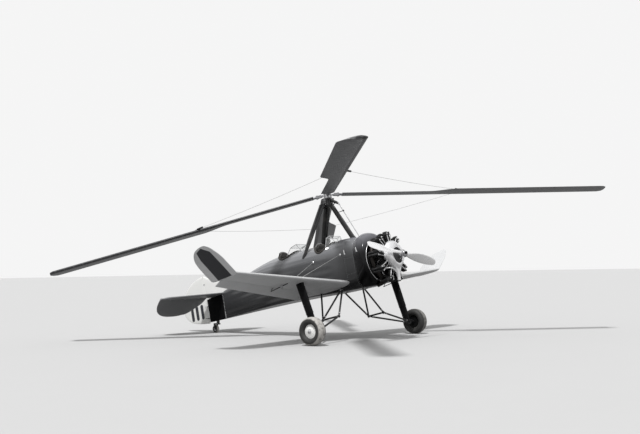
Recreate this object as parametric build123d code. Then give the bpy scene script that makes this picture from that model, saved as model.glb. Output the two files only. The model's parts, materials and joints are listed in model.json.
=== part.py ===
from build123d import *
import os
from math import atan2, cos, degrees, hypot, radians, sin

# Units and frame
# Millimetres. The aircraft is drawn level: x forward, y to the left, z up, with the
# origin on the propeller shaft line straight below the rotor hub. park() then sets it
# nose up on its three wheels, with the ground at z = 0.

# Parked attitude
PARK_ATTITUDE = 11.7
PARK_X = 379.0

# Rotor
ROTOR_RADIUS = 6858.0
ROTOR_HEIGHT = 1869.0
ROTOR_AZIMUTH = -47.2
BLADE_CHORD = 559.0
BLADE_ROOT_CHORD = 330.0
BLADE_THICKNESS = 78.0
BLADE_ROOT_THICKNESS = 62.0
BLADE_SPAR_SHARE = 0.25
BLADE_ROOT_RADIUS = 360.0
BLADE_STEP_START = 2500.0
BLADE_STEP_END = 3150.0
HUB_RADIUS = 95.0
HUB_HEIGHT = 150.0
DROOP_HINGE_RADIUS = 150.0
# quarter turn number, extra azimuth, droop below the rotor disc
BLADE_TABLE = [(0, 0.0, 4.6), (1, 0.4, 8.1), (2, 0.0, 4.6), (3, -0.8, 6.9)]

# Pylon
HEAD_RADIUS = 80.0
HEAD_BOTTOM = 1570.0
HEAD_TOP = 1780.0
PYLON_CHORD = 130.0
PYLON_THICKNESS = 60.0
PYLON_REAR_FOOT = (-677.0, 395.0, 610.0)
PYLON_FRONT_FOOT = (560.0, 0.0, 600.0)

# Fuselage
SKIN = 25.0
FIREWALL_X = 800.0
CABIN_END_X = -1900.0
TAIL_POST_X = -4600.0
FLOOR_Z = -330.0
FLOOR_THICKNESS = 20.0
# x, half width, bottom, shoulder, top, corner radius
CABIN_STATIONS = [
    (FIREWALL_X, 430.0, -560.0, 190.0, 610.0, 260.0),
    (0.0, 430.0, -535.0, 300.0, 690.0, 140.0),
    (-900.0, 420.0, -480.0, 350.0, 735.0, 90.0),
    (CABIN_END_X, 350.0, -440.0, 360.0, 745.0, 60.0),
]
TAIL_STATIONS = [
    (CABIN_END_X, 350.0, -440.0, 360.0, 745.0, 60.0),
    (-3000.0, 205.0, -425.0, 300.0, 555.0, 45.0),
    (-3950.0, 90.0, -418.0, 235.0, 300.0, 20.0),
    (TAIL_POST_X, 18.0, -412.0, 180.0, 205.0, 8.0),
]
# x centre, half length, half width, sill height
COCKPITS = {"front": (-380.0, 330.0, 330.0, 470.0), "rear": (-1480.0, 300.0, 300.0, 560.0)}
COAMING_RADIUS = 22.0
SCREEN_OFFSET = 40.0
SCREEN_HALF_WIDTH = 250.0
SCREEN_FOOT_Z = {"front": 640.0, "rear": 700.0}
SCREEN_HEIGHT = 200.0
SCREEN_RAKE = 90.0
SCREEN_DEPTH = 170.0
PANEL_LOW_Z = 380.0

# Nose and engine
COWL_FRONT_X = 1130.0
COWL_FRONT_RADIUS = 505.0
COWL_SKIN = 10.0
ENGINE_X = 1450.0
ENGINE_RADIUS = 571.5
CYLINDER_COUNT = 9
CASE_APOTHEM = 232.0
CASE_HALF_LENGTH = 130.0
CASE_NOSE_X = 1745.0
CASE_NOSE_RADIUS = 75.0
BARREL_RADIUS = 70.0
FIN_RADIUS = 86.0
FIN_COUNT = 4
FIN_THICKNESS = 12.0

# Propeller
PROP_X = 1815.0
PROP_RADIUS = 1340.0
PROP_TILT = -9.1
PROP_HUB_RADIUS = 62.0
PROP_HUB_LENGTH = 130.0
# radius, chord, thickness, pitch
PROP_SECTIONS = [(55.0, 92.0, 88.0, 60.0), (330.0, 150.0, 62.0, 50.0), (760.0, 205.0, 34.0, 30.0),
                 (1200.0, 165.0, 18.0, 20.0), (PROP_RADIUS, 60.0, 8.0, 18.0)]

# Wing
WING_ROOT_Y = 424.0
WING_BREAK_Y = 3950.0
WING_ROOT_LE = (490.0, -384.0)
WING_BREAK_LE = (330.0, -70.0)
WING_ROOT_CHORD = 1330.0
WING_BREAK_CHORD = 740.0
WING_INCIDENCE = 3.5
WING_THICKNESS_SHARE = 0.13
TIP_END_Y = 4620.0
TIP_END_LE = (300.0, 500.0)
TIP_THICKNESS = 26.0
AILERON_IN_Y = 870.0
AILERON_OUT_Y = 3880.0
AILERON_CHORD_IN = 380.0
AILERON_CHORD_OUT = 270.0
AILERON_GAP = 8.0
AILERON_PARKED = 20.0

# Landing gear
AXLE_X = 466.0
AXLE_Z = -1422.0
TRACK_HALF = 2045.0
TYRE_RADIUS = 311.0
TYRE_HALF_WIDTH = 135.0
RIM_RADIUS = 140.0
LEG_TOP = (226.0, 1867.0, -300.0)
LEG_CHORD = 190.0
LEG_THICKNESS = 85.0
AXLE_RADIUS = 28.0
BORE_CLEARANCE = 0.05
STRUT_RADIUS = 22.0
APEX_REAR = (-92.0, 906.0, -1136.0)
APEX_FRONT = (371.0, 888.0, -1127.0)
FITTING_REAR = (-350.0, 300.0, -508.0)
FITTING_FRONT = (274.0, 300.0, -545.0)

# Tail
STAB_Z = 250.0
STAB_THICKNESS = 60.0
STAB_ROOT_LE_X = -3850.0
STAB_TIP_LE_X = -4400.0
STAB_HALF_SPAN = 1750.0
ELEVATOR_HINGE_X = -4500.0
ELEVATOR_CHORD = 700.0
ELEVATOR_IN_Y = 150.0
ELEVATOR_PARKED = 32.0
TORQUE_RADIUS = 17.0
RUDDER_HINGE_X = -4650.0
RUDDER_CHORD = 950.0
RUDDER_NOSE = 20.0
TAIL_EDGE = 22.0
FIN_ROOT_X = -3350.0
FIN_TOP_Z = 850.0
FIN_HALF = 23.0
HINGE_GAP = 8.0

# Tail wheel
CASTER_X = -4330.0
TAIL_TYRE_RADIUS = 105.0
TAIL_TYRE_HALF_WIDTH = 38.0
CASTER_TRAIL = 85.0
SPINDLE_RADIUS = 18.0
WIRE_WING_Y = 1950.0

# Picketing lugs
LUG_Y = 2250.0
LUG_BACK = 420.0
LUG_HOLE_RADIUS = 11.0
LUG_WIDTH = 70.0
LUG_THICKNESS = 10.0
LUG_DROP = 100.0


def park_height():
    """How high the level frame's origin stands when the main tyres touch the ground."""
    a = radians(PARK_ATTITUDE)
    return TYRE_RADIUS - AXLE_X * sin(a) - AXLE_Z * cos(a)


def park(shape):
    """Sets a piece drawn in the level frame on its wheels."""
    return Pos(PARK_X, 0, park_height()) * Rot(0, -PARK_ATTITUDE, 0) * shape


def parked_point(x, y, z):
    """The parked place of a point of the level frame."""
    a = radians(PARK_ATTITUDE)
    return (PARK_X + x * cos(a) - z * sin(a), y, park_height() + x * sin(a) + z * cos(a))


def mirrored(shape):
    """The same piece on the other side of the centre plane."""
    return mirror(shape, about=Plane.XZ)


def grouped(shapes):
    """Several separate solids as one piece of the list."""
    return Compound([solid for shape in shapes for solid in shape.solids()])


def paired(shape):
    """A left-hand piece together with its right-hand twin."""
    return grouped([shape, mirrored(shape)])


def axis_plane(start, end, chord_direction):
    """A plane at start whose normal runs to end and whose x follows the chord."""
    line = Vector(*end) - Vector(*start)
    normal = line.normalized()
    chord = Vector(*chord_direction)
    chord = chord - normal * chord.dot(normal)
    return Plane(origin=start, x_dir=chord, z_dir=normal), line.length


def tube(start, end, radius):
    """A round bar between two points."""
    plane, length = axis_plane(start, end, (0.31, 0.17, 0.93))
    return extrude(plane * Circle(radius), amount=length)


def faired_strut(start, end, chord, thickness, chord_direction=(1, 0, 0)):
    """A streamlined bar of elliptic section between two points."""
    plane, length = axis_plane(start, end, chord_direction)
    return extrude(plane * Ellipse(chord / 2, thickness / 2), amount=length)


def joined(pieces):
    """One shape out of several."""
    result = pieces[0]
    for piece in pieces[1:]:
        result = result + piece
    return result


def body_section(x, half_width, bottom, shoulder, top, corner):
    """A fuselage frame: flat sides and floor, round lower corners, arched deck."""
    plane = Plane(origin=(x, 0, 0), x_dir=(0, 1, 0), z_dir=(1, 0, 0))
    bend = corner * (1 - cos(radians(45)))
    flat = half_width - corner
    with BuildLine() as outline:
        Line((-flat, bottom), (flat, bottom))
        ThreePointArc((flat, bottom), (half_width - bend, bottom + bend), (half_width, bottom + corner))
        Line((half_width, bottom + corner), (half_width, shoulder))
        ThreePointArc((half_width, shoulder), (0, top), (-half_width, shoulder))
        Line((-half_width, shoulder), (-half_width, bottom + corner))
        ThreePointArc((-half_width, bottom + corner), (bend - half_width, bottom + bend), (-flat, bottom))
    return plane * make_face(outline.line.edges())


def body_loft(stations, inset=0.0):
    """The fuselage between its frames, or its inner face at an inset."""
    faces = [body_section(x, w - inset, b + inset, s, t - inset, max(c - inset, 5.0))
             for x, w, b, s, t, c in stations]
    return loft(faces, ruled=True)


def slab(x_low, x_high, y_low, y_high, z_low, z_high):
    """A block between two corners, for walls and cuts."""
    size = (x_high - x_low, y_high - y_low, z_high - z_low)
    middle = ((x_low + x_high) / 2, (y_low + y_high) / 2, (z_low + z_high) / 2)
    return Pos(*middle) * Box(*size)


def cockpit_cutter(x, half_length, half_width, sill):
    """An oval well from above that also scoops the side sills."""
    return Pos(x, 0, sill) * extrude(Ellipse(half_length, half_width), amount=900)


def fuselage():
    """The hollow cabin with its cockpit openings, and the solid tail behind it."""
    outer = body_loft(CABIN_STATIONS)
    inner = body_loft(CABIN_STATIONS, SKIN)
    hollow = inner & slab(CABIN_END_X + SKIN, FIREWALL_X - SKIN, -900, 900, -900, 1200)
    shell = outer - hollow
    for cockpit in COCKPITS.values():
        shell = shell - cockpit_cutter(*cockpit)
    tail = body_loft(TAIL_STATIONS)
    floor = inner & slab(CABIN_END_X + SKIN, FIREWALL_X - SKIN, -900, 900, FLOOR_Z - FLOOR_THICKNESS, FLOOR_Z)
    return shell, tail, floor


def coaming(x, half_length, half_width, sill):
    """The padded rim that follows the cockpit edge where it cuts the deck."""
    ring_outer = Ellipse(half_length, half_width)
    ring_inner = Ellipse(half_length - COAMING_RADIUS, half_width - COAMING_RADIUS)
    wall = Pos(x, 0, sill) * extrude(ring_outer - ring_inner, amount=900)
    deck = body_loft(CABIN_STATIONS, -COAMING_RADIUS) - body_loft(CABIN_STATIONS, SKIN + 10)
    return wall & deck


def seat(x, half_width):
    """A bucket seat on the floor: a boxed pan open on top and a raked back."""
    half_depth, wall = 210.0, 25.0
    pan_z, back_height = FLOOR_Z + 240.0, 560.0
    pan = slab(x - half_depth, x + half_depth, -half_width, half_width, FLOOR_Z, pan_z)
    well = slab(x - half_depth + wall, x + half_depth - wall, -half_width + wall, half_width - wall,
                pan_z - 60, pan_z + 10)
    back_foot = Pos(x - half_depth + 30, 0, pan_z - 20) * Rot(0, -8, 0)
    back = back_foot * slab(-60, 0, -half_width, half_width, 0, back_height)
    return (pan - well) + back


def instrument_panel(x, z_low):
    """A panel across the cabin with its round dial openings."""
    inner = body_loft(CABIN_STATIONS, SKIN)
    panel = inner & slab(x, x + 12, -900, 900, z_low, 1200)
    for y in (-180, -60, 60, 180):
        panel = panel - Pos(x, y, z_low + 75) * Rot(0, 90, 0) * Cylinder(38, 60)
    return panel


def control_stick(x):
    """A stick on its socket, standing on the floor."""
    foot = (x, 0, FLOOR_Z + 20)
    grip = (x - 25, 0, FLOOR_Z + 470)
    socket = Pos(x, 0, FLOOR_Z) * extrude(RectangleRounded(70, 60, 12), amount=42)
    return tube(foot, grip, 11) + socket + tube((x - 20, 0, FLOOR_Z + 380), grip, 17)


def windscreen(x_foot, half_width, z_foot, height, rake, depth):
    """A three-pane screen: a raked front pane and two side panes swept back."""
    glass = 6.0
    narrow = 0.62
    foot = [(x_foot - depth, -half_width), (x_foot, -half_width * narrow), (x_foot, half_width * narrow),
            (x_foot - depth, half_width)]
    inner = [(x - glass * 1.5, y * (1 - glass / half_width)) for x, y in foot]
    lower = Polyline(*foot, *reversed(inner), close=True)
    shape = make_face(lower)
    lean = Vector(-rake, 0, height)
    return Pos(0, 0, z_foot) * extrude(shape, dir=lean.normalized(), amount=lean.length)


def nose_cowl():
    """The metal collar that runs from the firewall frame to the round engine opening."""
    x, w, b, s, t, c = CABIN_STATIONS[0]
    r = COWL_FRONT_RADIUS

    def ring(inset):
        back = body_section(x, w - inset, b + inset, s, t - inset, c - inset)
        front = body_section(COWL_FRONT_X, r - inset, inset - r, 0, r - inset, r - inset - 15)
        return loft([back, front], ruled=True)

    return ring(0) - ring(COWL_SKIN)


def engine_crankcase():
    """A nine-sided case with a round nose housing and the rear accessory drum."""
    plane = Plane(origin=(ENGINE_X - CASE_HALF_LENGTH, 0, 0), x_dir=(0, 0, 1), z_dir=(1, 0, 0))
    corner_radius = CASE_APOTHEM / cos(radians(180 / CYLINDER_COUNT))
    half_step = 180 / CYLINDER_COUNT
    case = extrude(plane * Rot(0, 0, half_step) * RegularPolygon(corner_radius, CYLINDER_COUNT),
                   amount=2 * CASE_HALF_LENGTH)
    front, nose = ENGINE_X + CASE_HALF_LENGTH, CASE_NOSE_X
    with BuildLine() as profile:
        Line((front, 0), (front, 205))
        ThreePointArc((front, 205), (front + 70, 168), (front + 105, 110))
        Line((front + 105, 110), (nose, CASE_NOSE_RADIUS))
        Line((nose, CASE_NOSE_RADIUS), (nose, 0))
        Line((nose, 0), (front, 0))
    dome = revolve(Plane.XZ * make_face(profile.line.edges()), axis=Axis.X)
    rear_x = FIREWALL_X + 190
    drum = extrude(Plane(origin=(rear_x, 0, 0), z_dir=(1, 0, 0)) * Circle(170),
                   amount=ENGINE_X - CASE_HALF_LENGTH - rear_x)
    return case + dome + drum


def engine_mount():
    """Four tubes from the firewall to the back of the engine."""
    rear = []
    for y, z in ((230, 230), (-230, 230), (230, -230), (-230, -230)):
        rear.append(tube((FIREWALL_X, y * 1.25, z * 1.25), (ENGINE_X - 250, y * 0.62, z * 0.62), 16))
    plane = Plane(origin=(ENGINE_X - 260, 0, 0), z_dir=(1, 0, 0))
    ring = extrude(plane * (Circle(230) - Circle(171)), amount=30)
    return joined(rear + [ring]) - slab(0, FIREWALL_X, -900, 900, -900, 900)


def engine_cylinder():
    """One finned cylinder standing on the case flat, pointing up."""
    base, top = CASE_APOTHEM, ENGINE_RADIUS
    head_z = base + 0.62 * (top - base)
    barrel = Pos(0, 0, base) * extrude(Circle(BARREL_RADIUS), amount=head_z - base)
    pitch = (head_z - base - 30) / FIN_COUNT
    for index in range(FIN_COUNT):
        z = base + 38 + index * pitch
        barrel = barrel + Pos(0, 0, z) * extrude(Circle(FIN_RADIUS), amount=FIN_THICKNESS)
    head = Pos(0, 0, head_z) * extrude(Circle(FIN_RADIUS), amount=72, taper=6)
    boxes = [Pos(x, y, head_z + 55) * extrude(RectangleRounded(70, 46, 18), amount=top - head_z - 55)
             for x, y in ((28, -44), (28, 44))]
    rods = [tube((72, y, base + 6), (52, y * 1.05, top - 25), 11) for y in (-34, 34)]
    return joined([barrel, head] + boxes + rods)


def engine_cylinders():
    """The ring of cylinders round the case."""
    one = Pos(ENGINE_X, 0, 0) * engine_cylinder()
    step = 360 / CYLINDER_COUNT
    return [Rot(index * step, 0, 0) * one for index in range(CYLINDER_COUNT)]


def propeller_blade():
    """One twisted blade along +y, from round root to thin tip."""
    faces = []
    for radius, chord, thickness, pitch in PROP_SECTIONS:
        plane = Plane(origin=(PROP_X, radius, 0), x_dir=(1, 0, 0), z_dir=(0, 1, 0))
        faces.append(plane * Rot(0, 0, 90 - pitch) * Ellipse(chord / 2, thickness / 2))
    return loft(faces, ruled=True)


def propeller():
    """Hub and two blades, stopped almost level."""
    plane = Plane(origin=(PROP_X - PROP_HUB_LENGTH / 2, 0, 0), z_dir=(1, 0, 0))
    hub = extrude(plane * Circle(PROP_HUB_RADIUS), amount=PROP_HUB_LENGTH)
    nose_x = PROP_X + PROP_HUB_LENGTH / 2
    nut = extrude(Plane(origin=(nose_x, 0, 0), z_dir=(1, 0, 0)) * RegularPolygon(38, 6), amount=42)
    blade = propeller_blade()
    blades = [blade, Rot(180, 0, 0) * blade]
    turn = Rot(PROP_TILT, 0, 0)
    clear_hub = hub + nut
    return turn * clear_hub, [turn * (b - clear_hub) for b in blades]


def wing_face(origin, chord, thickness, incidence):
    """A wing rib: round nose, arched top and a flatter belly, nose at the origin."""
    plane = Plane(origin=origin, x_dir=(1, 0, 0), z_dir=(0, -1, 0))
    up, low = 0.62 * thickness, 0.38 * thickness
    edge = 3.0
    with BuildLine() as rib:
        ThreePointArc((-chord, edge), (-0.42 * chord, up), (-0.06 * chord, 0.45 * up + 0.1 * thickness))
        ThreePointArc((-0.06 * chord, 0.45 * up + 0.1 * thickness), (0, 0), (-0.06 * chord, -0.8 * low))
        ThreePointArc((-0.06 * chord, -0.8 * low), (-0.45 * chord, -low), (-chord, -edge))
        Line((-chord, -edge), (-chord, edge))
    rib_face = make_face(rib.line.edges())
    return plane * Rot(0, 0, incidence) * rib_face


def lerp(a, b, share):
    """A value part of the way from a to b."""
    return a + (b - a) * share


def span_share(y):
    """How far a spanwise place lies from the root to the tip break."""
    return (y - WING_ROOT_Y) / (WING_BREAK_Y - WING_ROOT_Y)


def chord_line_point(y, back):
    """A point on the chord line at spanwise y, a distance behind the leading edge."""
    share = span_share(y)
    x = lerp(WING_ROOT_LE[0], WING_BREAK_LE[0], share)
    z = lerp(WING_ROOT_LE[1], WING_BREAK_LE[1], share)
    a = radians(WING_INCIDENCE)
    return (x - back * cos(a), y, z - back * sin(a))


def chord_at(y):
    """Wing chord at spanwise y."""
    return lerp(WING_ROOT_CHORD, WING_BREAK_CHORD, span_share(y))


def hinge_point(y):
    """The aileron hinge line at spanwise y."""
    share = (y - AILERON_IN_Y) / (AILERON_OUT_Y - AILERON_IN_Y)
    aileron_chord = lerp(AILERON_CHORD_IN, AILERON_CHORD_OUT, share)
    return chord_line_point(y, chord_at(y) - aileron_chord)


def hinge_half_thickness(y):
    """Half the wing's depth at the aileron hinge."""
    share = (y - AILERON_IN_Y) / (AILERON_OUT_Y - AILERON_IN_Y)
    aileron_chord = lerp(AILERON_CHORD_IN, AILERON_CHORD_OUT, share)
    back = (chord_at(y) - aileron_chord) / chord_at(y)
    return 0.5 * WING_THICKNESS_SHARE * chord_at(y) * (1 - back) * 1.55


def left_wing():
    """The left panel with its aileron bay, its upturned tip, and the aileron."""
    root = wing_face((WING_ROOT_LE[0], WING_ROOT_Y, WING_ROOT_LE[1]), WING_ROOT_CHORD,
                     WING_THICKNESS_SHARE * WING_ROOT_CHORD, WING_INCIDENCE)
    outer = wing_face((WING_BREAK_LE[0], WING_BREAK_Y, WING_BREAK_LE[1]), WING_BREAK_CHORD,
                      WING_THICKNESS_SHARE * WING_BREAK_CHORD, WING_INCIDENCE)
    panel = loft([root, outer], ruled=True)
    inner_hinge, outer_hinge = hinge_point(AILERON_IN_Y), hinge_point(AILERON_OUT_Y)
    inner_half, outer_half = hinge_half_thickness(AILERON_IN_Y), hinge_half_thickness(AILERON_OUT_Y)

    def bay(grow_forward, end_gap):
        """The plan of the aileron, cut straight down through the wing."""
        with BuildSketch() as plan:
            with BuildLine():
                Polyline((inner_hinge[0] + grow_forward * inner_half, AILERON_IN_Y - end_gap),
                         (outer_hinge[0] + grow_forward * outer_half, AILERON_OUT_Y + end_gap),
                         (-1400, AILERON_OUT_Y + end_gap), (-1400, AILERON_IN_Y - end_gap), close=True)
            make_face()
        return Pos(0, 0, -900) * extrude(plan.sketch, amount=1200)

    wing = panel - Pos(AILERON_GAP, 0, 0) * bay(1.0, AILERON_GAP) - body_loft(CABIN_STATIONS)
    flap = panel & bay(0.0, 0.0)
    nose_plane, nose_length = axis_plane(inner_hinge, outer_hinge, (1, 0, 0))
    nose = extrude(nose_plane * Circle(outer_half), amount=nose_length)
    parked = Axis(inner_hinge, Vector(*outer_hinge) - Vector(*inner_hinge))
    return wing, flap + nose, parked


def wing_tip():
    """The upturned tip: a flat panel bent up from the break, round at its end."""
    length = hypot(TIP_END_Y - WING_BREAK_Y, TIP_END_LE[1] - WING_BREAK_LE[1])
    lift = degrees(atan2(TIP_END_LE[1] - WING_BREAK_LE[1], TIP_END_Y - WING_BREAK_Y))
    chord = WING_BREAK_CHORD
    with BuildLine() as plan:
        Line((0, 6), (0, length * 0.45))
        ThreePointArc((0, length * 0.45), (-0.27 * chord, length), (-0.62 * chord, length * 0.86))
        ThreePointArc((-0.62 * chord, length * 0.86), (-0.93 * chord, length * 0.55), (-chord, 6))
        Line((-chord, 6), (0, 6))
    panel = extrude(make_face(plan.line.edges()), amount=TIP_THICKNESS / 2, both=True)
    return (Pos(WING_BREAK_LE[0], WING_BREAK_Y, WING_BREAK_LE[1]) * Rot(0, -WING_INCIDENCE, 0)
            * Rot(lift, 0, 0) * panel)


def tyre(radius, half_width, bore):
    """A low-pressure doughnut tyre round the y axis."""
    with BuildLine() as profile:
        Line((bore, -half_width * 0.62), (bore, half_width * 0.62))
        ThreePointArc((bore, half_width * 0.62), (lerp(bore, radius, 0.5), half_width),
                      (radius - half_width * 0.35, half_width * 0.62))
        ThreePointArc((radius - half_width * 0.35, half_width * 0.62), (radius, 0),
                      (radius - half_width * 0.35, -half_width * 0.62))
        ThreePointArc((radius - half_width * 0.35, -half_width * 0.62),
                      (lerp(bore, radius, 0.5), -half_width), (bore, -half_width * 0.62))
    return revolve(Plane.XY * make_face(profile.line.edges()), axis=Axis.Y)


def wheel_disc(bore, half_width):
    """The dished disc wheel that carries the tyre."""
    rim = RIM_RADIUS
    with BuildLine() as profile:
        Polyline((bore, -half_width * 0.55), (bore, half_width * 0.7), (bore + 30, half_width * 0.7))
        ThreePointArc((bore + 30, half_width * 0.7), (rim * 0.65, half_width * 0.6),
                      (rim, half_width * 0.35))
        Polyline((rim, half_width * 0.35), (rim, -half_width * 0.55), (bore, -half_width * 0.55))
    return revolve(Plane.XY * make_face(profile.line.edges()), axis=Axis.Y)


def main_gear():
    """The left leg, its tube truss, axle and wheel."""
    axle_inner = (AXLE_X, TRACK_HALF - TYRE_HALF_WIDTH - 60, AXLE_Z)
    knuckle_y = axle_inner[1] - 20
    leg_foot = (AXLE_X - 6, knuckle_y, AXLE_Z + 40)
    leg = faired_strut(LEG_TOP, leg_foot, LEG_CHORD, LEG_THICKNESS)
    knuckle = Pos(AXLE_X, knuckle_y, AXLE_Z) * Rot(90, 0, 0) * Cylinder(62, 90)
    truss = [tube(APEX_REAR, FITTING_REAR, STRUT_RADIUS), tube(APEX_REAR, FITTING_FRONT, STRUT_RADIUS),
             tube(APEX_FRONT, FITTING_FRONT, STRUT_RADIUS), tube(APEX_REAR, APEX_FRONT, STRUT_RADIUS),
             tube(APEX_REAR, (AXLE_X - 60, knuckle_y - 45, AXLE_Z), STRUT_RADIUS),
             tube(APEX_FRONT, (AXLE_X, knuckle_y - 45, AXLE_Z + 15), STRUT_RADIUS),
             Pos(*APEX_REAR) * Sphere(STRUT_RADIUS * 1.25), Pos(*APEX_FRONT) * Sphere(STRUT_RADIUS * 1.25)]
    start_y = knuckle_y + 45
    axle = Pos(AXLE_X, (start_y + TRACK_HALF + 60) / 2, AXLE_Z) * Rot(90, 0, 0) * Cylinder(
        AXLE_RADIUS, TRACK_HALF + 60 - start_y)
    wheel = Pos(AXLE_X, TRACK_HALF, AXLE_Z)
    return leg, knuckle, joined(truss), axle, wheel * tyre(TYRE_RADIUS, TYRE_HALF_WIDTH, RIM_RADIUS), \
        wheel * wheel_disc(AXLE_RADIUS + BORE_CLEARANCE, TYRE_HALF_WIDTH)


def stabiliser():
    """The left fixed tailplane, from the fin to its round tip."""
    half = STAB_THICKNESS / 2
    rear_x = ELEVATOR_HINGE_X + half + HINGE_GAP
    with BuildLine() as plan:
        Line((STAB_ROOT_LE_X, FIN_HALF), (STAB_TIP_LE_X + 80, STAB_HALF_SPAN - 150))
        ThreePointArc((STAB_TIP_LE_X + 80, STAB_HALF_SPAN - 150), (STAB_TIP_LE_X + 20, STAB_HALF_SPAN - 50),
                      (rear_x, STAB_HALF_SPAN))
        Polyline((rear_x, STAB_HALF_SPAN), (rear_x, FIN_HALF), (STAB_ROOT_LE_X, FIN_HALF))
    return Pos(0, 0, STAB_Z) * extrude(make_face(plan.line.edges()), amount=half, both=True)


def elevator_half():
    """The left elevator with its round nose on the hinge line."""
    hinge, chord, span = ELEVATOR_HINGE_X, ELEVATOR_CHORD, STAB_HALF_SPAN
    with BuildLine() as plan:
        Line((hinge, ELEVATOR_IN_Y), (hinge, span))
        ThreePointArc((hinge, span), (hinge - 0.55 * chord, span - 190), (hinge - chord, span - 900))
        ThreePointArc((hinge - chord, span - 900), (hinge - 0.9 * chord, span - 1180),
                      (hinge - 0.3 * chord, ELEVATOR_IN_Y))
        Line((hinge - 0.3 * chord, ELEVATOR_IN_Y), (hinge, ELEVATOR_IN_Y))
    blade = extrude(make_face(plan.line.edges()), amount=TAIL_EDGE / 2, both=True)
    nose = Pos(hinge, 0, 0) * Rot(-90, 0, 0) * Pos(0, 0, ELEVATOR_IN_Y) * extrude(
        Circle(STAB_THICKNESS / 2), amount=span - ELEVATOR_IN_Y)
    return Pos(0, 0, STAB_Z) * (blade + nose)


def elevator():
    """Both halves on one torque tube, hanging down as they park."""
    tube_length = 2 * (ELEVATOR_IN_Y + 20)
    torque = Pos(ELEVATOR_HINGE_X, 0, STAB_Z) * Rot(90, 0, 0) * Cylinder(TORQUE_RADIUS, tube_length)
    half = elevator_half()
    pair = half + mirrored(half) + torque
    return pair.rotate(Axis((ELEVATOR_HINGE_X, 0, STAB_Z), (0, 1, 0)), -ELEVATOR_PARKED)


SIDE_PLANE = Plane(origin=(0, 0, 0), x_dir=(1, 0, 0), z_dir=(0, -1, 0))


def fin():
    """The low fin, rising from the deck to the top of the rudder post."""
    post = RUDDER_HINGE_X + RUDDER_NOSE + HINGE_GAP
    with BuildLine() as side:
        ThreePointArc((FIN_ROOT_X, 440), (lerp(FIN_ROOT_X, post, 0.6), 640), (post, FIN_TOP_Z))
        Polyline((post, FIN_TOP_Z), (post, 150), (FIN_ROOT_X, 150), (FIN_ROOT_X, 440))
    body = extrude(SIDE_PLANE * make_face(side.line.edges()), amount=FIN_HALF, both=True)
    slot = Pos(ELEVATOR_HINGE_X, 0, STAB_Z) * Rot(90, 0, 0) * Cylinder(TORQUE_RADIUS + 8, 200)
    return body - slot - body_loft(TAIL_STATIONS)


def rudder():
    """The deep rudder: a round-backed flat surface on a tube along its hinge."""
    hinge = RUDDER_HINGE_X
    with BuildLine() as side:
        Line((hinge, -435), (hinge, 850))
        ThreePointArc((hinge, 850), (hinge - 545, 725), (hinge - 840, 430))
        ThreePointArc((hinge - 840, 430), (hinge - RUDDER_CHORD, 150), (hinge - 870, -150))
        ThreePointArc((hinge - 870, -150), (hinge - 700, -310), (hinge, -435))
    blade = extrude(SIDE_PLANE * make_face(side.line.edges()), amount=TAIL_EDGE / 2, both=True)
    post = Pos(hinge, 0, -435) * extrude(Circle(RUDDER_NOSE), amount=1285)
    return blade + post


def tail_wheel():
    """Socket, swivelling fork and small wheel, drawn in the parked frame."""
    top = parked_point(CASTER_X, 0, -417)
    x, socket_low = top[0], top[2] - 62
    socket = Pos(x, 0, socket_low) * extrude(Circle(42), amount=140) & park(
        slab(CASTER_X - 300, CASTER_X + 300, -200, 200, -900, -416))
    socket = socket - Pos(x, 0, socket_low - 5) * extrude(Circle(SPINDLE_RADIUS + BORE_CLEARANCE), amount=50)
    crown_top = socket_low - 6
    wheel_x, wheel_z = x - CASTER_TRAIL, TAIL_TYRE_RADIUS
    spindle = Pos(x, 0, crown_top) * extrude(Circle(SPINDLE_RADIUS), amount=45)
    half = TAIL_TYRE_HALF_WIDTH + 8
    crown_low = TAIL_TYRE_RADIUS * 2 + 8
    crown = slab(wheel_x - 28, x + 30, -half - 12, half + 12, crown_low, crown_top)
    cheeks = [slab(wheel_x - 26, wheel_x + 26, s * half - 6 + s * 6, s * half + 6 + s * 6, wheel_z - 26,
                   crown_low) for s in (-1, 1)]
    pin = Pos(wheel_x, 0, wheel_z) * Rot(90, 0, 0) * Cylinder(10, 2 * half)
    fork = joined([spindle, crown, pin] + cheeks)
    place = Pos(wheel_x, 0, wheel_z)
    rim = TAIL_TYRE_RADIUS * 0.52
    tail_tyre = place * tyre(TAIL_TYRE_RADIUS, TAIL_TYRE_HALF_WIDTH, rim)
    hub = place * Rot(90, 0, 0) * (Cylinder(rim, TAIL_TYRE_HALF_WIDTH * 1.2)
                                   - Cylinder(10 + BORE_CLEARANCE, 200))
    return {"tail_wheel_socket": socket, "tail_wheel_fork": fork, "tail_wheel_tyre": tail_tyre,
            "tail_wheel_hub": hub}


def pylon():
    """Head housing on a front leg and two rear legs, with the starter shaft."""
    head = Pos(0, 0, HEAD_BOTTOM) * extrude(Circle(HEAD_RADIUS), amount=HEAD_TOP - HEAD_BOTTOM)
    collar = Pos(0, 0, HEAD_BOTTOM + 40) * extrude(Circle(HEAD_RADIUS + 22), amount=40)
    head = head + collar + Pos(-95, 0, HEAD_BOTTOM + 60) * Box(110, 150, 90)
    cabin = body_loft(CABIN_STATIONS)
    rear_top = (-100.0, 62.0, HEAD_BOTTOM + 60)
    rear = faired_strut(PYLON_REAR_FOOT, rear_top, PYLON_CHORD, PYLON_THICKNESS) - head - cabin
    front_top = (70.0, 0.0, HEAD_BOTTOM + 20)
    front = faired_strut(PYLON_FRONT_FOOT, front_top, PYLON_CHORD, PYLON_THICKNESS) - head - cabin
    housing = tube((110, 0, HEAD_TOP - 70), (290, 0, HEAD_TOP - 190), 34)
    shaft = tube((290, 0, HEAD_TOP - 190), (760, 0, 560), 12)
    starter = (housing + shaft) - head - cabin
    return head, rear, front, starter


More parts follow.
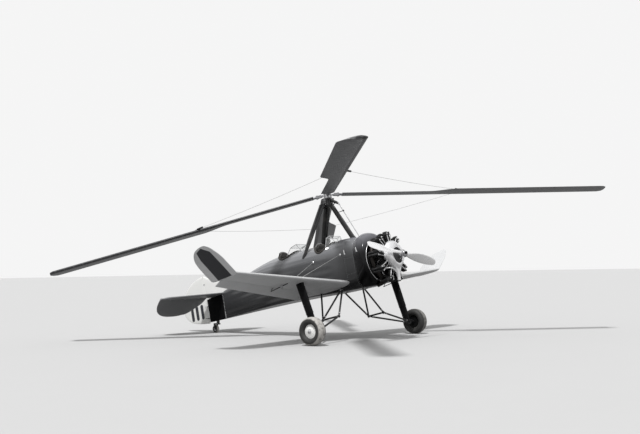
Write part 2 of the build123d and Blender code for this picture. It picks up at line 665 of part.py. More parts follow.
def blade_rib(radius, chord, thickness):
    """A rotor blade section: its nose stays on one straight line along the blade."""
    plane = Plane(origin=(radius, 0, 0), x_dir=(0, 1, 0), z_dir=(1, 0, 0))
    nose = BLADE_CHORD * BLADE_SPAR_SHARE
    up, low = 0.62 * thickness, 0.38 * thickness
    with BuildLine() as rib:
        ThreePointArc((nose - chord, 2.5), (nose - 0.4 * chord, up), (nose - 0.05 * chord, 0.55 * up))
        ThreePointArc((nose - 0.05 * chord, 0.55 * up), (nose, 0), (nose - 0.05 * chord, -0.55 * low))
        ThreePointArc((nose - 0.05 * chord, -0.55 * low), (nose - 0.4 * chord, -low), (nose - chord, -2.5))
        Line((nose - chord, -2.5), (nose - chord, 2.5))
    return plane * make_face(rib.line.edges())


def rotor_blade():
    """One blade along +x: narrow root, step to the full chord, round tip."""
    root_low = blade_rib(BLADE_ROOT_RADIUS, BLADE_ROOT_CHORD, BLADE_ROOT_THICKNESS)
    root_high = blade_rib(BLADE_STEP_START, BLADE_ROOT_CHORD, BLADE_ROOT_THICKNESS)
    full_low = blade_rib(BLADE_STEP_END, BLADE_CHORD, BLADE_THICKNESS)
    full_high = blade_rib(ROTOR_RADIUS, BLADE_CHORD, BLADE_THICKNESS)
    inner = loft([root_low, root_high], ruled=True)
    step = loft([root_high, full_low], ruled=True)
    outer = loft([full_low, full_high], ruled=True)
    nose = BLADE_CHORD * BLADE_SPAR_SHARE
    tail = nose - BLADE_CHORD
    end = ROTOR_RADIUS
    with BuildLine() as plan:
        Line((BLADE_STEP_END - 5, nose + 20), (end - 90, nose + 20))
        ThreePointArc((end - 90, nose + 20), (end, nose - 120), (end - 170, tail - 20))
        Polyline((end - 170, tail - 20), (BLADE_STEP_END - 5, tail - 20), (BLADE_STEP_END - 5, nose + 20))
    tip = extrude(make_face(plan.line.edges()), amount=200, both=True)
    return inner + step + (outer & tip)


def blade_fitting():
    """The fork on the droop hinge, the drag hinge block and the blade's spar end."""
    hinge = DROOP_HINGE_RADIUS
    cheeks = [slab(hinge - 30, hinge + 75, s * 33 - 7, s * 33 + 7, -28, 28) for s in (-1, 1)]
    block = slab(hinge + 75, hinge + 125, -40, 40, -34, 34)
    spar = tube((hinge + 125, 0, 0), (BLADE_ROOT_RADIUS, 0, 0), 30)
    return joined(cheeks + [block, spar])


def rotor():
    """The hub with its four lugs, the fittings and the blades, drooped as they park."""
    hub = Pos(0, 0, HEAD_TOP + 8) * extrude(Circle(HUB_RADIUS), amount=HUB_HEIGHT)
    cap = Pos(0, 0, HEAD_TOP + 8 + HUB_HEIGHT) * extrude(Circle(HUB_RADIUS * 0.7), amount=45, taper=20)
    hub = hub + cap
    fittings, blades = [], []
    for quarter, azimuth, droop in BLADE_TABLE:
        turn = Pos(0, 0, ROTOR_HEIGHT) * Rot(0, 0, ROTOR_AZIMUTH + 90 * quarter + azimuth)
        lug = slab(HUB_RADIUS - 20, DROOP_HINGE_RADIUS + 24, -25, 25, -22, 22)
        pin = Pos(DROOP_HINGE_RADIUS, 0, 0) * Rot(90, 0, 0) * Cylinder(13, 96)
        hub = hub + turn * (lug + pin)
        hang = turn * Pos(DROOP_HINGE_RADIUS, 0, 0) * Rot(0, droop, 0) * Pos(-DROOP_HINGE_RADIUS, 0, 0)
        fittings.append(hang * blade_fitting() - turn * pin)
        blades.append(hang * rotor_blade())
    return hub, fittings, blades


def landing_wires():
    """The streamlined wires from the cabin sides down to the left wing."""
    share = span_share(WIRE_WING_Y)
    top_z = lerp(WING_ROOT_LE[1], WING_BREAK_LE[1], share) + 30
    wires = [tube((-462, 425, 309), (60, WIRE_WING_Y, top_z - 5), 6),
             tube((370, 425, 302), (330, WIRE_WING_Y, top_z), 6)]
    return joined(wires)


def picketing_lug(wing):
    """A bored plate under the wing spar, for the rope that ties the aircraft down."""
    x, y, z = chord_line_point(LUG_Y, LUG_BACK)
    plane = Plane(origin=(x, y + LUG_THICKNESS / 2, z), x_dir=(1, 0, 0), z_dir=(0, -1, 0))
    eye = Pos(0, -LUG_DROP) * Circle(LUG_WIDTH / 2)
    hole = Pos(0, -LUG_DROP) * Circle(LUG_HOLE_RADIUS)
    strap = Pos(0, -LUG_DROP / 2) * Rectangle(LUG_WIDTH, LUG_DROP)
    return extrude(plane * (strap + eye - hole), amount=LUG_THICKNESS) - wing


def cockpit_pieces():
    """What stands in and round the two cockpits, by node name."""
    cabin = body_loft(CABIN_STATIONS)
    nodes = ("cockpit_coamings", "seats", "windscreens", "instrument_panels", "control_sticks")
    sets = {node: [] for node in nodes}
    for name, cockpit in COCKPITS.items():
        x, half_length, half_width, _ = cockpit
        screen_x = x + half_length + SCREEN_OFFSET
        rim = coaming(*cockpit)
        screen = windscreen(screen_x, SCREEN_HALF_WIDTH, SCREEN_FOOT_Z[name], SCREEN_HEIGHT, SCREEN_RAKE,
                            SCREEN_DEPTH)
        sets["cockpit_coamings"].append(rim)
        sets["seats"].append(seat(x - 60, half_width - 90))
        sets["windscreens"].append(screen - cabin - rim)
        sets["instrument_panels"].append(instrument_panel(screen_x - 20, PANEL_LOW_Z))
        sets["control_sticks"].append(control_stick(x + 190))
    return {node: grouped(shapes) for node, shapes in sets.items()}


def airframe_pieces():
    """The fixed pieces on the centre line, by node name."""
    shell, tail, floor = fuselage()
    head, rear_leg, front_leg, starter = pylon()
    pieces = {
        "fuselage_cabin": shell, "fuselage_tail": tail, "cabin_floor": floor, "nose_cowl": nose_cowl(),
        "engine_mount": engine_mount(), "engine_crankcase": engine_crankcase(),
        "engine_cylinders": grouped(engine_cylinders()), "pylon_head": head, "pylon_front_leg": front_leg,
        "pylon_rear_legs": paired(rear_leg), "rotor_starter_shaft": starter, "fin": fin(),
    }
    pieces.update(cockpit_pieces())
    return pieces


def sided_pieces():
    """The pieces that come in a left and a right hand, by node name."""
    wing, aileron, hinge = left_wing()
    leg, knuckle, truss, axle, wheel_tyre, disc = main_gear()
    cabin = body_loft(CABIN_STATIONS)
    pieces = {
        "wing_tips": paired(wing_tip() - wing), "landing_wires": paired(landing_wires() - wing - cabin),
        "gear_legs": paired(leg - wing), "gear_knuckles": paired(knuckle - leg),
        "gear_trusses": paired(truss - cabin - leg - knuckle), "axles": paired(axle),
        "stabilisers": paired(stabiliser() - body_loft(TAIL_STATIONS)),
        "picketing_lugs": paired(picketing_lug(wing)),
        "left_aileron": aileron.rotate(hinge, AILERON_PARKED),
        "right_aileron": mirrored(aileron.rotate(hinge, -AILERON_PARKED)),
    }
    for name, shape in {"wing": wing, "tyre": wheel_tyre, "wheel_disc": disc}.items():
        pieces[f"left_{name}"] = shape
        pieces[f"right_{name}"] = mirrored(shape)
    return pieces


def moving_pieces():
    """The propeller, the rotor and the tail controls, by node name."""
    prop_hub, prop_blades = propeller()
    hub, fittings, blades = rotor()
    return {
        "propeller_hub": prop_hub, "propeller_blades": grouped(prop_blades), "rotor_hub": hub,
        "blade_root_fittings": grouped(fittings), "rotor_blades": grouped(blades),
        "elevator": elevator(), "rudder": rudder(),
    }


def build():
    """Builds every piece, centres the parked aircraft and writes one file a piece."""
    level = {**airframe_pieces(), **sided_pieces(), **moving_pieces()}
    pieces = {name: park(shape) for name, shape in level.items()}
    pieces.update(tail_wheel())
    box = grouped(pieces.values()).bounding_box()
    centre = Pos(-(box.min.X + box.max.X) / 2, 0, 0)
    print("centre shift", round(centre.position.X, 4), "box", box.size)
    os.makedirs("parts", exist_ok=True)
    for name, shape in pieces.items():
        export_step(centre * shape, f"parts/{name}.step")


if __name__ == "__main__":
    build()
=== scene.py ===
import json
import logging
from dataclasses import dataclass
from enum import Enum
from math import asin, copysign, cos, hypot, inf, pi, radians, sin, sqrt
from typing import Any, Callable, NamedTuple, Optional, Sequence, Union

import bmesh
import bpy
from mathutils import Matrix, Vector


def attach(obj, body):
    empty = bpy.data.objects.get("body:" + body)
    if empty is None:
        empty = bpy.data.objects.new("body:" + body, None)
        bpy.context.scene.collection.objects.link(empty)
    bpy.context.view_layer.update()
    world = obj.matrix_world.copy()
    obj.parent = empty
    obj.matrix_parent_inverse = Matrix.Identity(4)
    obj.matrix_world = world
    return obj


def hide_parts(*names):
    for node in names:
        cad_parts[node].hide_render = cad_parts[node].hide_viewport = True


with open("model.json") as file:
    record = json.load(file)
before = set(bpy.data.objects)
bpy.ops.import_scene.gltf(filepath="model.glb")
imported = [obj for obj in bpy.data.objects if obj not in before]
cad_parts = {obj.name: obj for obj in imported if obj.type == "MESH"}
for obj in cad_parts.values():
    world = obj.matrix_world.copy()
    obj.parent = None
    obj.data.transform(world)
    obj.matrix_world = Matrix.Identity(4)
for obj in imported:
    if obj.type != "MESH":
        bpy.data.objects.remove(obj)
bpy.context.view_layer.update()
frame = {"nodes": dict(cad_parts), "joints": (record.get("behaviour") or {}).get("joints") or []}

# Units and frames
# Metres. Most pieces are drawn in the level frame of the aircraft: x forward, y to the
# left, z up, with the origin on the propeller shaft line straight below the rotor hub.
# LEVEL sets them nose up on their wheels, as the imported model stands.

Pair = tuple[float, float]
Triple = tuple[float, float, float]
Colour = Triple
Row = list[tuple[Vector, Vector]]
LOG = logging.getLogger("gyrocopter")
JOINTS = {joint["name"]: joint for joint in frame["joints"]}
ROTOR_HEIGHT = 1.869
WELD = 2e-5
# degrees from which an edge stays sharp
SHARP = 35.0
SIDES = (-1, 1)
# share of an airfoil's thickness above its chord line
UPPER_SHARE = 0.62
FULL_TURN = 2 * pi


def level_matrix() -> Matrix:
    """Where the level frame stands once the aircraft is parked, from the two shaft axes.

    Returns:
        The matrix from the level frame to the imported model's frame.
    """
    forward = Vector(JOINTS["propeller_spin"]["axis"])
    upward = Vector(JOINTS["rotor_spin"]["axis"])
    basis = Matrix((forward, upward.cross(forward), upward)).transposed().to_4x4()
    basis.translation = Vector(JOINTS["rotor_spin"]["pos_m"]) - upward * ROTOR_HEIGHT
    return basis


LEVEL = level_matrix()
PARKED = Matrix.Identity(4)


def swung(joint: str, angle: float) -> Matrix:
    """The level frame turned about a hinge, for a surface that parks deflected.

    Args:
        joint: Name of the hinge.
        angle: Degrees about the hinge's axis.

    Returns:
        The matrix from the level frame to the deflected place.
    """
    pivot = Matrix.Translation(Vector(JOINTS[joint]["pos_m"]))
    turn = Matrix.Rotation(radians(angle), 4, Vector(JOINTS[joint]["axis"]))
    return pivot @ turn @ pivot.inverted() @ LEVEL


def vec(x: float, y: float, z: float) -> Vector:
    """A point or a direction from its three parts."""
    return Vector((x, y, z))


def points(*rows: Triple) -> list[Vector]:
    """Rows of three numbers as points."""
    return [Vector(row) for row in rows]


def clamp(value: float) -> float:
    """A value held between 0 and 1."""
    return min(1.0, max(0.0, value))


def evenly(count: int) -> list[float]:
    """Even shares from 0 to 1, both ends included."""
    return [index / count for index in range(count + 1)]


def circle(x: float, radius: float, count: int) -> list[Vector]:
    """Points round the shaft line at a station."""
    return [vec(x, radius * cos(a), radius * sin(a)) for a in arc(count)]


def lerp(first: float, second: float, share: float) -> float:
    """A value part of the way from the first to the second."""
    return first + (second - first) * share


def arc(count: int, start: float = 0.0, end: float = FULL_TURN, whole: bool = False) -> list[float]:
    """Evenly spaced angles.

    Args:
        count: How many angles.
        start: First angle in radians.
        end: Last angle in radians.
        whole: True to include the last angle.

    Returns:
        The list of angles.
    """
    return [lerp(start, end, index / (count - whole)) for index in range(count)]


def across(axis: Vector, hint: Vector) -> tuple[Vector, Vector]:
    """Two unit directions square to an axis, the first one nearest to a hint."""
    along = axis.normalized()
    first = (hint - along * hint.dot(along)).normalized()
    return first, along.cross(first)


class Solid:
    """Collects the points and faces of one piece."""

    def __init__(self) -> None:
        """Starts with nothing."""
        self.points: list[Vector] = []
        self.faces: list[tuple[int, ...]] = []
        self.cut: list[Pair] = []
        self.tags: list[float] = []

    def loft(self, rings: Sequence[Sequence[Vector]], closed: bool = True, capped: bool = True,
             looped: bool = False, tags: Optional[Sequence[Sequence[float]]] = None) -> "Solid":
        """Skins a row of rings with as many points each, and measures the cut along both ways.

        Args:
            rings: The rings, in order.
            closed: True if each ring closes on itself.
            capped: True to close both ends.
            looped: True if the last ring joins the first.
            tags: A tag for each point, if any.

        Returns:
            This solid.
        """
        width = len(rings[0])
        columns = width + 1 if closed else width
        grid: list[list[int]] = []
        down = 0.0
        for row, ring in enumerate(rings):
            if row:
                down += (ring[0] - rings[row - 1][0]).length
            numbers, along = [], 0.0
            for column in range(columns):
                point = ring[column % width]
                if column:
                    along += (point - ring[column - 1]).length
                numbers.append(len(self.points))
                self.points.append(Vector(point))
                self.cut.append((down, along))
                self.tags.append(tags[row][column % width] if tags else 0.0)
            grid.append(numbers)
        pairs = list(zip(grid, grid[1:]))
        if looped:
            pairs.append((grid[-1], grid[0]))
        for low, high in pairs:
            for index in range(columns - 1):
                self.faces.append((low[index], low[index + 1], high[index + 1], high[index]))
        if capped and not looped:
            self.faces.append(tuple(reversed(grid[0][:width])))
            self.faces.append(tuple(grid[-1][:width]))
        return self

    def revolve(self, profile: Sequence[Pair], origin: Sequence[float], axis: Sequence[float],
                faces: int = 48, looped: bool = False) -> "Solid":
        """Turns a profile of (along the axis, radius) pairs about an axis, closed to the axis at its ends.

        Args:
            profile: The pairs, in order.
            origin: A point on the axis.
            axis: The axis's direction.
            faces: Faces round the turn.
            looped: True if the profile closes on itself instead.

        Returns:
            This solid.
        """
        line, start = Vector(axis).normalized(), Vector(origin)
        first, second = across(line, vec(0.13, 0.31, 0.94))
        pairs = list(profile)
        if not looped:
            ends = [[(end[0], 0.0)] if end[1] else [] for end in (pairs[0], pairs[-1])]
            pairs = ends[0] + pairs + ends[1]
        rings = [[start + line * along + (first * cos(a) + second * sin(a)) * radius
                  for a in arc(faces)] for along, radius in pairs]
        return self.loft(rings, looped=looped)

    def tube(self, path: Sequence[Vector], radius: Union[float, Sequence[float]], sides: int = 12,
             looped: bool = False) -> "Solid":
        """A round bar along a path.

        Args:
            path: The path's points.
            radius: One radius, or one for each point.
            sides: Faces round the bar.
            looped: True if the path closes on itself.

        Returns:
            This solid.
        """
        count = len(path)
        radii = [radius] * count if isinstance(radius, (int, float)) else list(radius)
        hint, rings = vec(0.21, 0.34, 0.92), []
        for index in range(count):
            if looped:
                ahead, behind = path[(index + 1) % count], path[index - 1]
            else:
                ahead, behind = path[min(index + 1, count - 1)], path[max(index - 1, 0)]
            first, second = across(ahead - behind, hint)
            hint = first
            rings.append([path[index] + (first * cos(a) + second * sin(a)) * radii[index]
                          for a in arc(sides)])
        return self.loft(rings, looped=looped)

    def fairing(self, start: Sequence[float], end: Sequence[float], sizes: Sequence[Pair],
                chord: Sequence[float] = (1, 0, 0), sides: int = 32) -> "Solid":
        """A streamlined strut whose round nose points along the chord direction.

        Args:
            start: One end.
            end: The other end.
            sizes: (chord, thickness) at even steps from start to end.
            chord: Direction of the nose.
            sides: Points round the section.

        Returns:
            This solid.
        """
        low, high = Vector(start), Vector(end)
        nose, side = across(high - low, Vector(chord))
        rings = []
        for index, (length, thickness) in enumerate(sizes):
            middle = low.lerp(high, index / (len(sizes) - 1))
            ring = []
            for a in arc(sides):
                forward = cos(a)
                fullness = 1.0 if forward > 0 else 1 - 0.35 * forward * forward
                ring.append(middle + nose * (forward * length / 2)
                            + side * (sin(a) * fullness * thickness / 2))
            rings.append(ring)
        return self.loft(rings)

    def prism(self, outline: Sequence[Sequence[float]], depth: Sequence[float]) -> "Solid":
        """A flat plate: an outline pushed along a depth vector."""
        low = [Vector(point) for point in outline]
        return self.loft([low, [point + Vector(depth) for point in low]])

    def block(self, middle: Sequence[float], size: Sequence[float],
              turn: Optional[Matrix] = None) -> "Solid":
        """A block about its middle, turned by a matrix if one is given."""
        half = Vector(size) / 2
        corners = [vec(x * half.x, y * half.y, -half.z) for x, y in ((-1, -1), (1, -1), (1, 1), (-1, 1))]
        top = [corner + vec(0, 0, size[2]) for corner in corners]
        turn = turn or PARKED
        return self.loft([[Vector(middle) + turn @ p for p in ring] for ring in (corners, top)])

    def take(self, other: "Solid", place: Matrix = PARKED) -> "Solid":
        """Adds another solid's points and faces, moved by a matrix."""
        first = len(self.points)
        self.points += [place @ point for point in other.points]
        self.cut += other.cut
        self.tags += other.tags
        self.faces += [tuple(number + first for number in face) for face in other.faces]
        return self

    def twinned(self) -> "Solid":
        """Adds the same shape on the other side of the centre plane."""
        return self.take(self.mirrored())

    def mirrored(self) -> "Solid":
        """The same shape on the other side of the centre plane, alone."""
        return Solid().take(self, Matrix.Scale(-1, 4, (0, 1, 0)))

    def mesh(self, name: str, place: Matrix = LEVEL, angle: float = SHARP) -> bpy.types.Mesh:
        """Welds the faces into a mesh whose normals point outwards.

        Args:
            name: The mesh's name.
            place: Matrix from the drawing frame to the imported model's frame.
            angle: Edges sharper than this many degrees stay sharp.

        Returns:
            The mesh.
        """
        shape = bmesh.new()
        layer = shape.loops.layers.uv.new("cut")
        tag = shape.verts.layers.float.new("tag")
        verts = [shape.verts.new(point) for point in self.points]
        for vert, value in zip(verts, self.tags):
            vert[tag] = value
        for numbers in self.faces:
            face = shape.faces.new([verts[number] for number in numbers])
            for loop, number in zip(face.loops, numbers):
                loop[layer].uv = self.cut[number]
        bmesh.ops.remove_doubles(shape, verts=shape.verts, dist=WELD)
        bmesh.ops.recalc_face_normals(shape, faces=shape.faces)
        shape.transform(place)
        mesh = bpy.data.meshes.new(name)
        shape.to_mesh(mesh)
        shape.free()
        mesh.shade_smooth()
        mesh.set_sharp_from_angle(angle=radians(angle))
        return mesh


def two_sided(operation: str, swapped: bool = False) -> Callable[["Term", Any], "Term"]:
    """Makes an operator's method.

    Args:
        operation: The node's operation.
        swapped: True where the term stands on the right.

    Returns:
        The method.
    """
    def method(self: "Term", other: Any) -> "Term":
        """Adds the operation's node."""
        return self.pair(operation, *((other, self) if swapped else (self, other)))

    return method


def one_sided(operation: str) -> Callable[["Term"], "Term"]:
    """Makes the method of an operation on the term alone."""
    def method(self: "Term") -> "Term":
        """Adds the operation's node."""
        return self.tree.term("ShaderNodeMath", {"operation": operation}, {0: self})

    return method


class Term:
    """A shader socket. Arithmetic on it adds Math or Vector Math nodes."""

    def __init__(self, tree: "ShaderTree", socket: bpy.types.NodeSocket) -> None:
        """Wraps a socket of a tree."""
        self.tree = tree
        self.socket = socket

    def pair(self, operation: str, first: Any, second: Any) -> "Term":
        """Adds one operation on two values, of which at least one is a term."""
        vector = any(isinstance(value, Term) and value.socket.type == "VECTOR" for value in (first, second))
        kind = "ShaderNodeVectorMath" if vector else "ShaderNodeMath"
        return self.tree.term(kind, {"operation": operation}, {0: first, 1: second})

    def between(self, low: float, high: float) -> "Term":
        """A soft step from 0 at low to 1 at high."""
        return self.tree.term("ShaderNodeMapRange", {"interpolation_type": "SMOOTHSTEP"},
                              {"Value": self, "From Min": low, "From Max": high})

    __add__ = two_sided("ADD")
    __radd__ = two_sided("ADD", True)
    __sub__ = two_sided("SUBTRACT")
    __rsub__ = two_sided("SUBTRACT", True)
    __mul__ = two_sided("MULTIPLY")
    __rmul__ = two_sided("MULTIPLY", True)
    __truediv__ = two_sided("DIVIDE")
    __lt__ = two_sided("LESS_THAN")
    __gt__ = two_sided("GREATER_THAN")
    __abs__ = one_sided("ABSOLUTE")
    fraction = one_sided("FRACT")
    sine = one_sided("SINE")


class Tree:
    """A node tree whose nodes all come from one method."""

    def __init__(self, tree: bpy.types.NodeTree) -> None:
        """Wraps a node tree."""
        self.tree = tree

    def node(self, kind: str, settings: Optional[dict[str, Any]] = None,
             sockets: Optional[dict[Union[str, int], Any]] = None) -> bpy.types.Node:
        """Adds a node.

        Args:
            kind: The node's type.
            settings: Its properties, set first. "stops" holds a ramp's (place, colour) pairs.
            sockets: A value or a link for each named or numbered input.

        Returns:
            The node.
        """
        node = self.tree.nodes.new(kind)
        for name, value in (settings or {}).items():
            if name == "stops":
                ramp = node.color_ramp
                for index, (place, colour) in enumerate(value):
                    stop = ramp.elements[index] if index < 2 else ramp.elements.new(place)
                    stop.position, stop.color = place, (*colour, 1.0)
            else:
                setattr(node, name, value)
        for key, value in (sockets or {}).items():
            socket = node.inputs[key]
            if isinstance(value, Term):
                self.tree.links.new(value.socket, socket)
            elif isinstance(value, bpy.types.NodeSocket):
                self.tree.links.new(value, socket)
            elif isinstance(value, tuple) and socket.type == "RGBA" and len(value) == 3:
                socket.default_value = (*value, 1.0)
            else:
                socket.default_value = value
        return node


class ShaderTree(Tree):
    """The node tree of one material."""

    def __init__(self, name: str) -> None:
        """Makes an empty material."""
        self.material = bpy.data.materials.new(name)
        self.material.use_nodes = True
        super().__init__(self.material.node_tree)
        self.tree.nodes.clear()

    def term(self, kind: str, settings: Optional[dict[str, Any]] = None,
             sockets: Optional[dict[Union[str, int], Any]] = None, output: Union[str, int] = 0) -> Term:
        """Adds a node and wraps one of its outputs."""
        return Term(self, self.node(kind, settings, sockets).outputs[output])

    def place(self) -> Term:
        """A point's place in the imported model's frame."""
        return self.term("ShaderNodeTexCoord", output="Object")

    def level(self, axis: str) -> Term:
        """A point's place along one axis of the level frame."""
        turned = self.term("ShaderNodeMapping", {"vector_type": "TEXTURE"},
                           {"Vector": self.place(), "Location": tuple(LEVEL.translation),
                            "Rotation": tuple(LEVEL.to_euler())})
        return self.term("ShaderNodeSeparateXYZ", None, {0: turned}, axis)

    def flat(self, axis: str) -> Term:
        """A point's place on the piece's own flat cut, in metres."""
        cut = self.term("ShaderNodeUVMap", {"uv_map": "cut"})
        return self.term("ShaderNodeSeparateXYZ", None, {0: cut}, axis)

    def tag(self) -> Term:
        """The tag of the piece's points."""
        return self.term("ShaderNodeAttribute", {"attribute_name": "tag"}, output="Fac")

    def noise(self, scale: float, detail: float = 3.0, roughness: float = 0.55,
              stretch: Triple = (1, 1, 1)) -> Term:
        """Cloudy noise from 0 to 1, stretched along the axes where asked."""
        place = self.term("ShaderNodeMapping", None, {"Vector": self.place(), "Scale": stretch})
        return self.term("ShaderNodeTexNoise", None,
                         {"Vector": place, "Scale": scale, "Detail": detail, "Roughness": roughness})

    def cells(self, scale: float) -> Term:
        """Distance to the nearest of many scattered points."""
        return self.term("ShaderNodeTexVoronoi", None, {"Vector": self.place(), "Scale": scale})

    def blend(self, share: Any, first: Any, second: Any) -> Term:
        """A colour part of the way from the first to the second."""
        return self.term("ShaderNodeMix", {"data_type": "RGBA"}, {0: share, 6: first, 7: second}, 2)

    def bump(self, height: Term, distance: float, strength: float = 1.0,
             under: Optional[Term] = None) -> Term:
        """A normal from a height between 0 and 1, worth a distance in metres."""
        sockets = {"Height": height, "Distance": distance, "Strength": strength}
        if under is not None:
            sockets["Normal"] = under
        return self.term("ShaderNodeBump", None, sockets)

    def surface(self, sockets: dict[str, Any]) -> None:
        """Ends the tree in a surface shader."""
        shader = self.node("ShaderNodeBsdfPrincipled", None, sockets)
        self.node("ShaderNodeOutputMaterial", None, {"Surface": shader.outputs[0]})


@dataclass(frozen=True)
class Finish:
    """A surface finish, made into a material the first time a piece asks for it."""

    name: str
    slot: str

    def material(self) -> bpy.types.Material:
        """The finish's material."""
        known = bpy.data.materials.get(self.name)
        if known is None:
            tree = ShaderTree(self.name)
            self.paint(tree)
            known = tree.material
        return known

    def paint(self, tree: ShaderTree) -> None:
        """Builds the shader."""
        raise NotImplementedError


def shade(colour: Colour, factor: float) -> Colour:
    """A colour made lighter or darker."""
    return tuple(min(1.0, channel * factor) for channel in colour)


@dataclass(frozen=True)
class Dope(Finish):
    """Doped fabric: cloudy brushed colour, weave, rib tapes with pinked edges, and dust."""

    colour: Colour = (0.5, 0.5, 0.5)
    roughness: float = 0.4
    metallic: float = 0.0
    coat: float = 0.0
    drift: float = 0.25
    tape_pitch: float = 0.0
    tape_width: float = 0.05
    weave: float = 8e-6
    specular: float = 0.5

    def tint(self, tree: ShaderTree) -> Term:
        """The colour before wear."""
        cloud = tree.noise(1.7, 5.0, 0.62)
        brush = tree.noise(14.0, 3.0, 0.6, (0.25, 1.0, 1.0))
        dull = tree.blend(cloud.between(0.35, 0.75) * self.drift, self.colour, shade(self.colour, 0.72))
        return tree.blend(brush.between(0.5, 0.8) * self.drift, dull, shade(self.colour, 1.18))

    def paint(self, tree: ShaderTree) -> None:
        """Builds the shader."""
        colour = self.tint(tree)
        thread = 2.4e-3
        weave = ((tree.flat("X") * (FULL_TURN / thread)).sine()
                 * (tree.flat("Y") * (FULL_TURN / thread)).sine())
        normal = tree.bump(weave, self.weave)
        ripple = tree.noise(5.0, 2.0)
        normal = tree.bump(ripple, 0.004, 0.35, normal)
        rough = tree.noise(9.0, 4.0) * 0.16 + (self.roughness - 0.08)
        if self.tape_pitch:
            along, down = tree.flat("X"), tree.flat("Y")
            pinks = abs((down / 0.012).fraction() - 0.5) * 0.006
            away = abs((along / self.tape_pitch + 0.5).fraction() - 0.5) * self.tape_pitch + pinks
            tape = 1 - away.between(self.tape_width / 2 - 1e-3, self.tape_width / 2 + 1e-3)
            stitch = (1 - away.between(0.006, 0.011)) * (down * (FULL_TURN / 0.065)).sine().between(0.4, 0.9)
            normal = tree.bump(tape + stitch, 0.0008, 1.0, normal)
            colour = tree.blend(tape * 0.16, colour, shade(self.colour, 1.3))
            edge = tape * away.between(self.tape_width / 2 - 0.008, self.tape_width / 2 - 0.001)
            colour = tree.blend(edge * 0.45, colour, shade(self.colour, 0.55))
        specks = tree.cells(60.0)
        colour = tree.blend((1 - specks.between(0.02, 0.09)) * 0.3, colour, shade(self.colour, 0.5))
        tree.surface({"Base Color": colour, "Roughness": rough, "Metallic": self.metallic,
                      "Specular IOR Level": self.specular, "Coat Weight": self.coat, "Coat Roughness": 0.08,
                      "Normal": normal})


@dataclass(frozen=True)
class PaintedLightDope(Dope):
    """Gloss dope drawn lighter on the decks and darker below: painted light on top, painted shade
    underneath.
    """

    painted_low_shade: float = 0.3
    painted_top_light: float = 2.0

    def tint(self, tree: ShaderTree) -> Term:
        """The colour, lighter upwards as painted light and darker downwards as painted shade."""
        height = tree.level("Z")
        colour = tree.blend(height.between(0.15, 0.75), super().tint(tree), shade(self.colour, self.painted_top_light))
        return tree.blend(height.between(0.22, -0.42), colour, shade(self.colour, self.painted_low_shade))


@dataclass(frozen=True)
class BarredDope(Dope):
    """White dope with three upright dark bars with round ends on the rudder."""

    bar_colour: Colour = (0.02, 0.022, 0.03)
    bar_places: tuple[float, ...] = (-4.85, -5.05, -5.24)
    bar_half_width: float = 0.055
    bar_low: float = -0.235
    bar_high: float = 0.06

    def tint(self, tree: ShaderTree) -> Term:
        """The white with its bars."""
        colour = super().tint(tree)
        x, z = tree.level("X"), tree.level("Z")
        middle = (self.bar_low + self.bar_high) / 2
        reach = (self.bar_high - self.bar_low) / 2
        over = abs(z - middle) - reach
        over = over * (over > 0)
        for place in self.bar_places:
            off = x - place
            distance = off * off + over * over
            inside = 1 - distance.between((self.bar_half_width * 0.95) ** 2, self.bar_half_width ** 2)
            colour = tree.blend(inside, colour, self.bar_colour)
        return colour


@dataclass(frozen=True)
class PanelledDope(Dope):
    """Silver dope with a dark panel where the points carry a tag: a painted panel on the wing tips, a dark
    band along the rotor blades' leading edges.
    """

    panel_colour: Colour = (0.03, 0.031, 0.036)

    def tint(self, tree: ShaderTree) -> Term:
        """The silver with its dark panel."""
        return tree.blend(tree.tag().between(0.45, 0.55), super().tint(tree), self.panel_colour)


@dataclass(frozen=True)
class Metal(Finish):
    """Bare metal: a brushed or polished ground with scuffs, stains and fine scratches."""

    colour: Colour = (0.7, 0.7, 0.7)
    roughness: float = 0.3
    metallic: float = 1.0
    grain: Triple = (1.0, 14.0, 1.0)
    stain: float = 0.3
    pits: float = 2e-5

    def paint(self, tree: ShaderTree) -> None:
        """Builds the shader."""
        streak = tree.noise(22.0, 4.0, 0.65, self.grain)
        cloud = tree.noise(3.0, 5.0, 0.6)
        smudge = tree.noise(9.0, 3.0, 0.7)
        colour = tree.blend(cloud.between(0.45, 0.8) * self.stain, self.colour, shade(self.colour, 0.55))
        colour = tree.blend(streak.between(0.5, 0.7) * 0.2, colour, shade(self.colour, 1.2))
        rough = streak * 0.14 + smudge.between(0.45, 0.75) * 0.16 + (self.roughness - 0.09)
        normal = tree.bump(streak, self.pits * 4)
        normal = tree.bump(tree.noise(420.0, 2.0), self.pits, 1.0, normal)
        tree.surface({"Base Color": colour, "Roughness": rough, "Metallic": self.metallic, "Normal": normal})


@dataclass(frozen=True)
class Cast(Finish):
    """Cast metal: sandy grain, pitting and an oily tint in patches."""

    colour: Colour = (0.45, 0.45, 0.46)
    roughness: float = 0.5
    metallic: float = 0.8
    oil: Colour = (0.12, 0.09, 0.06)

    def paint(self, tree: ShaderTree) -> None:
        """Builds the shader."""
        sand = tree.noise(180.0, 3.0, 0.7)
        cloud = tree.noise(6.0, 5.0, 0.65)
        pits = tree.cells(120.0)
        colour = tree.blend(sand.between(0.35, 0.75) * 0.3, self.colour, shade(self.colour, 0.7))
        colour = tree.blend(cloud.between(0.52, 0.78) * 0.55, colour, self.oil)
        rough = sand * 0.2 + (self.roughness - 0.1)
        normal = tree.bump(sand, 3e-4)
        normal = tree.bump(pits.between(0.0, 0.3), 2e-4, 0.6, normal)
        tree.surface({"Base Color": colour, "Roughness": rough, "Metallic": self.metallic, "Normal": normal})


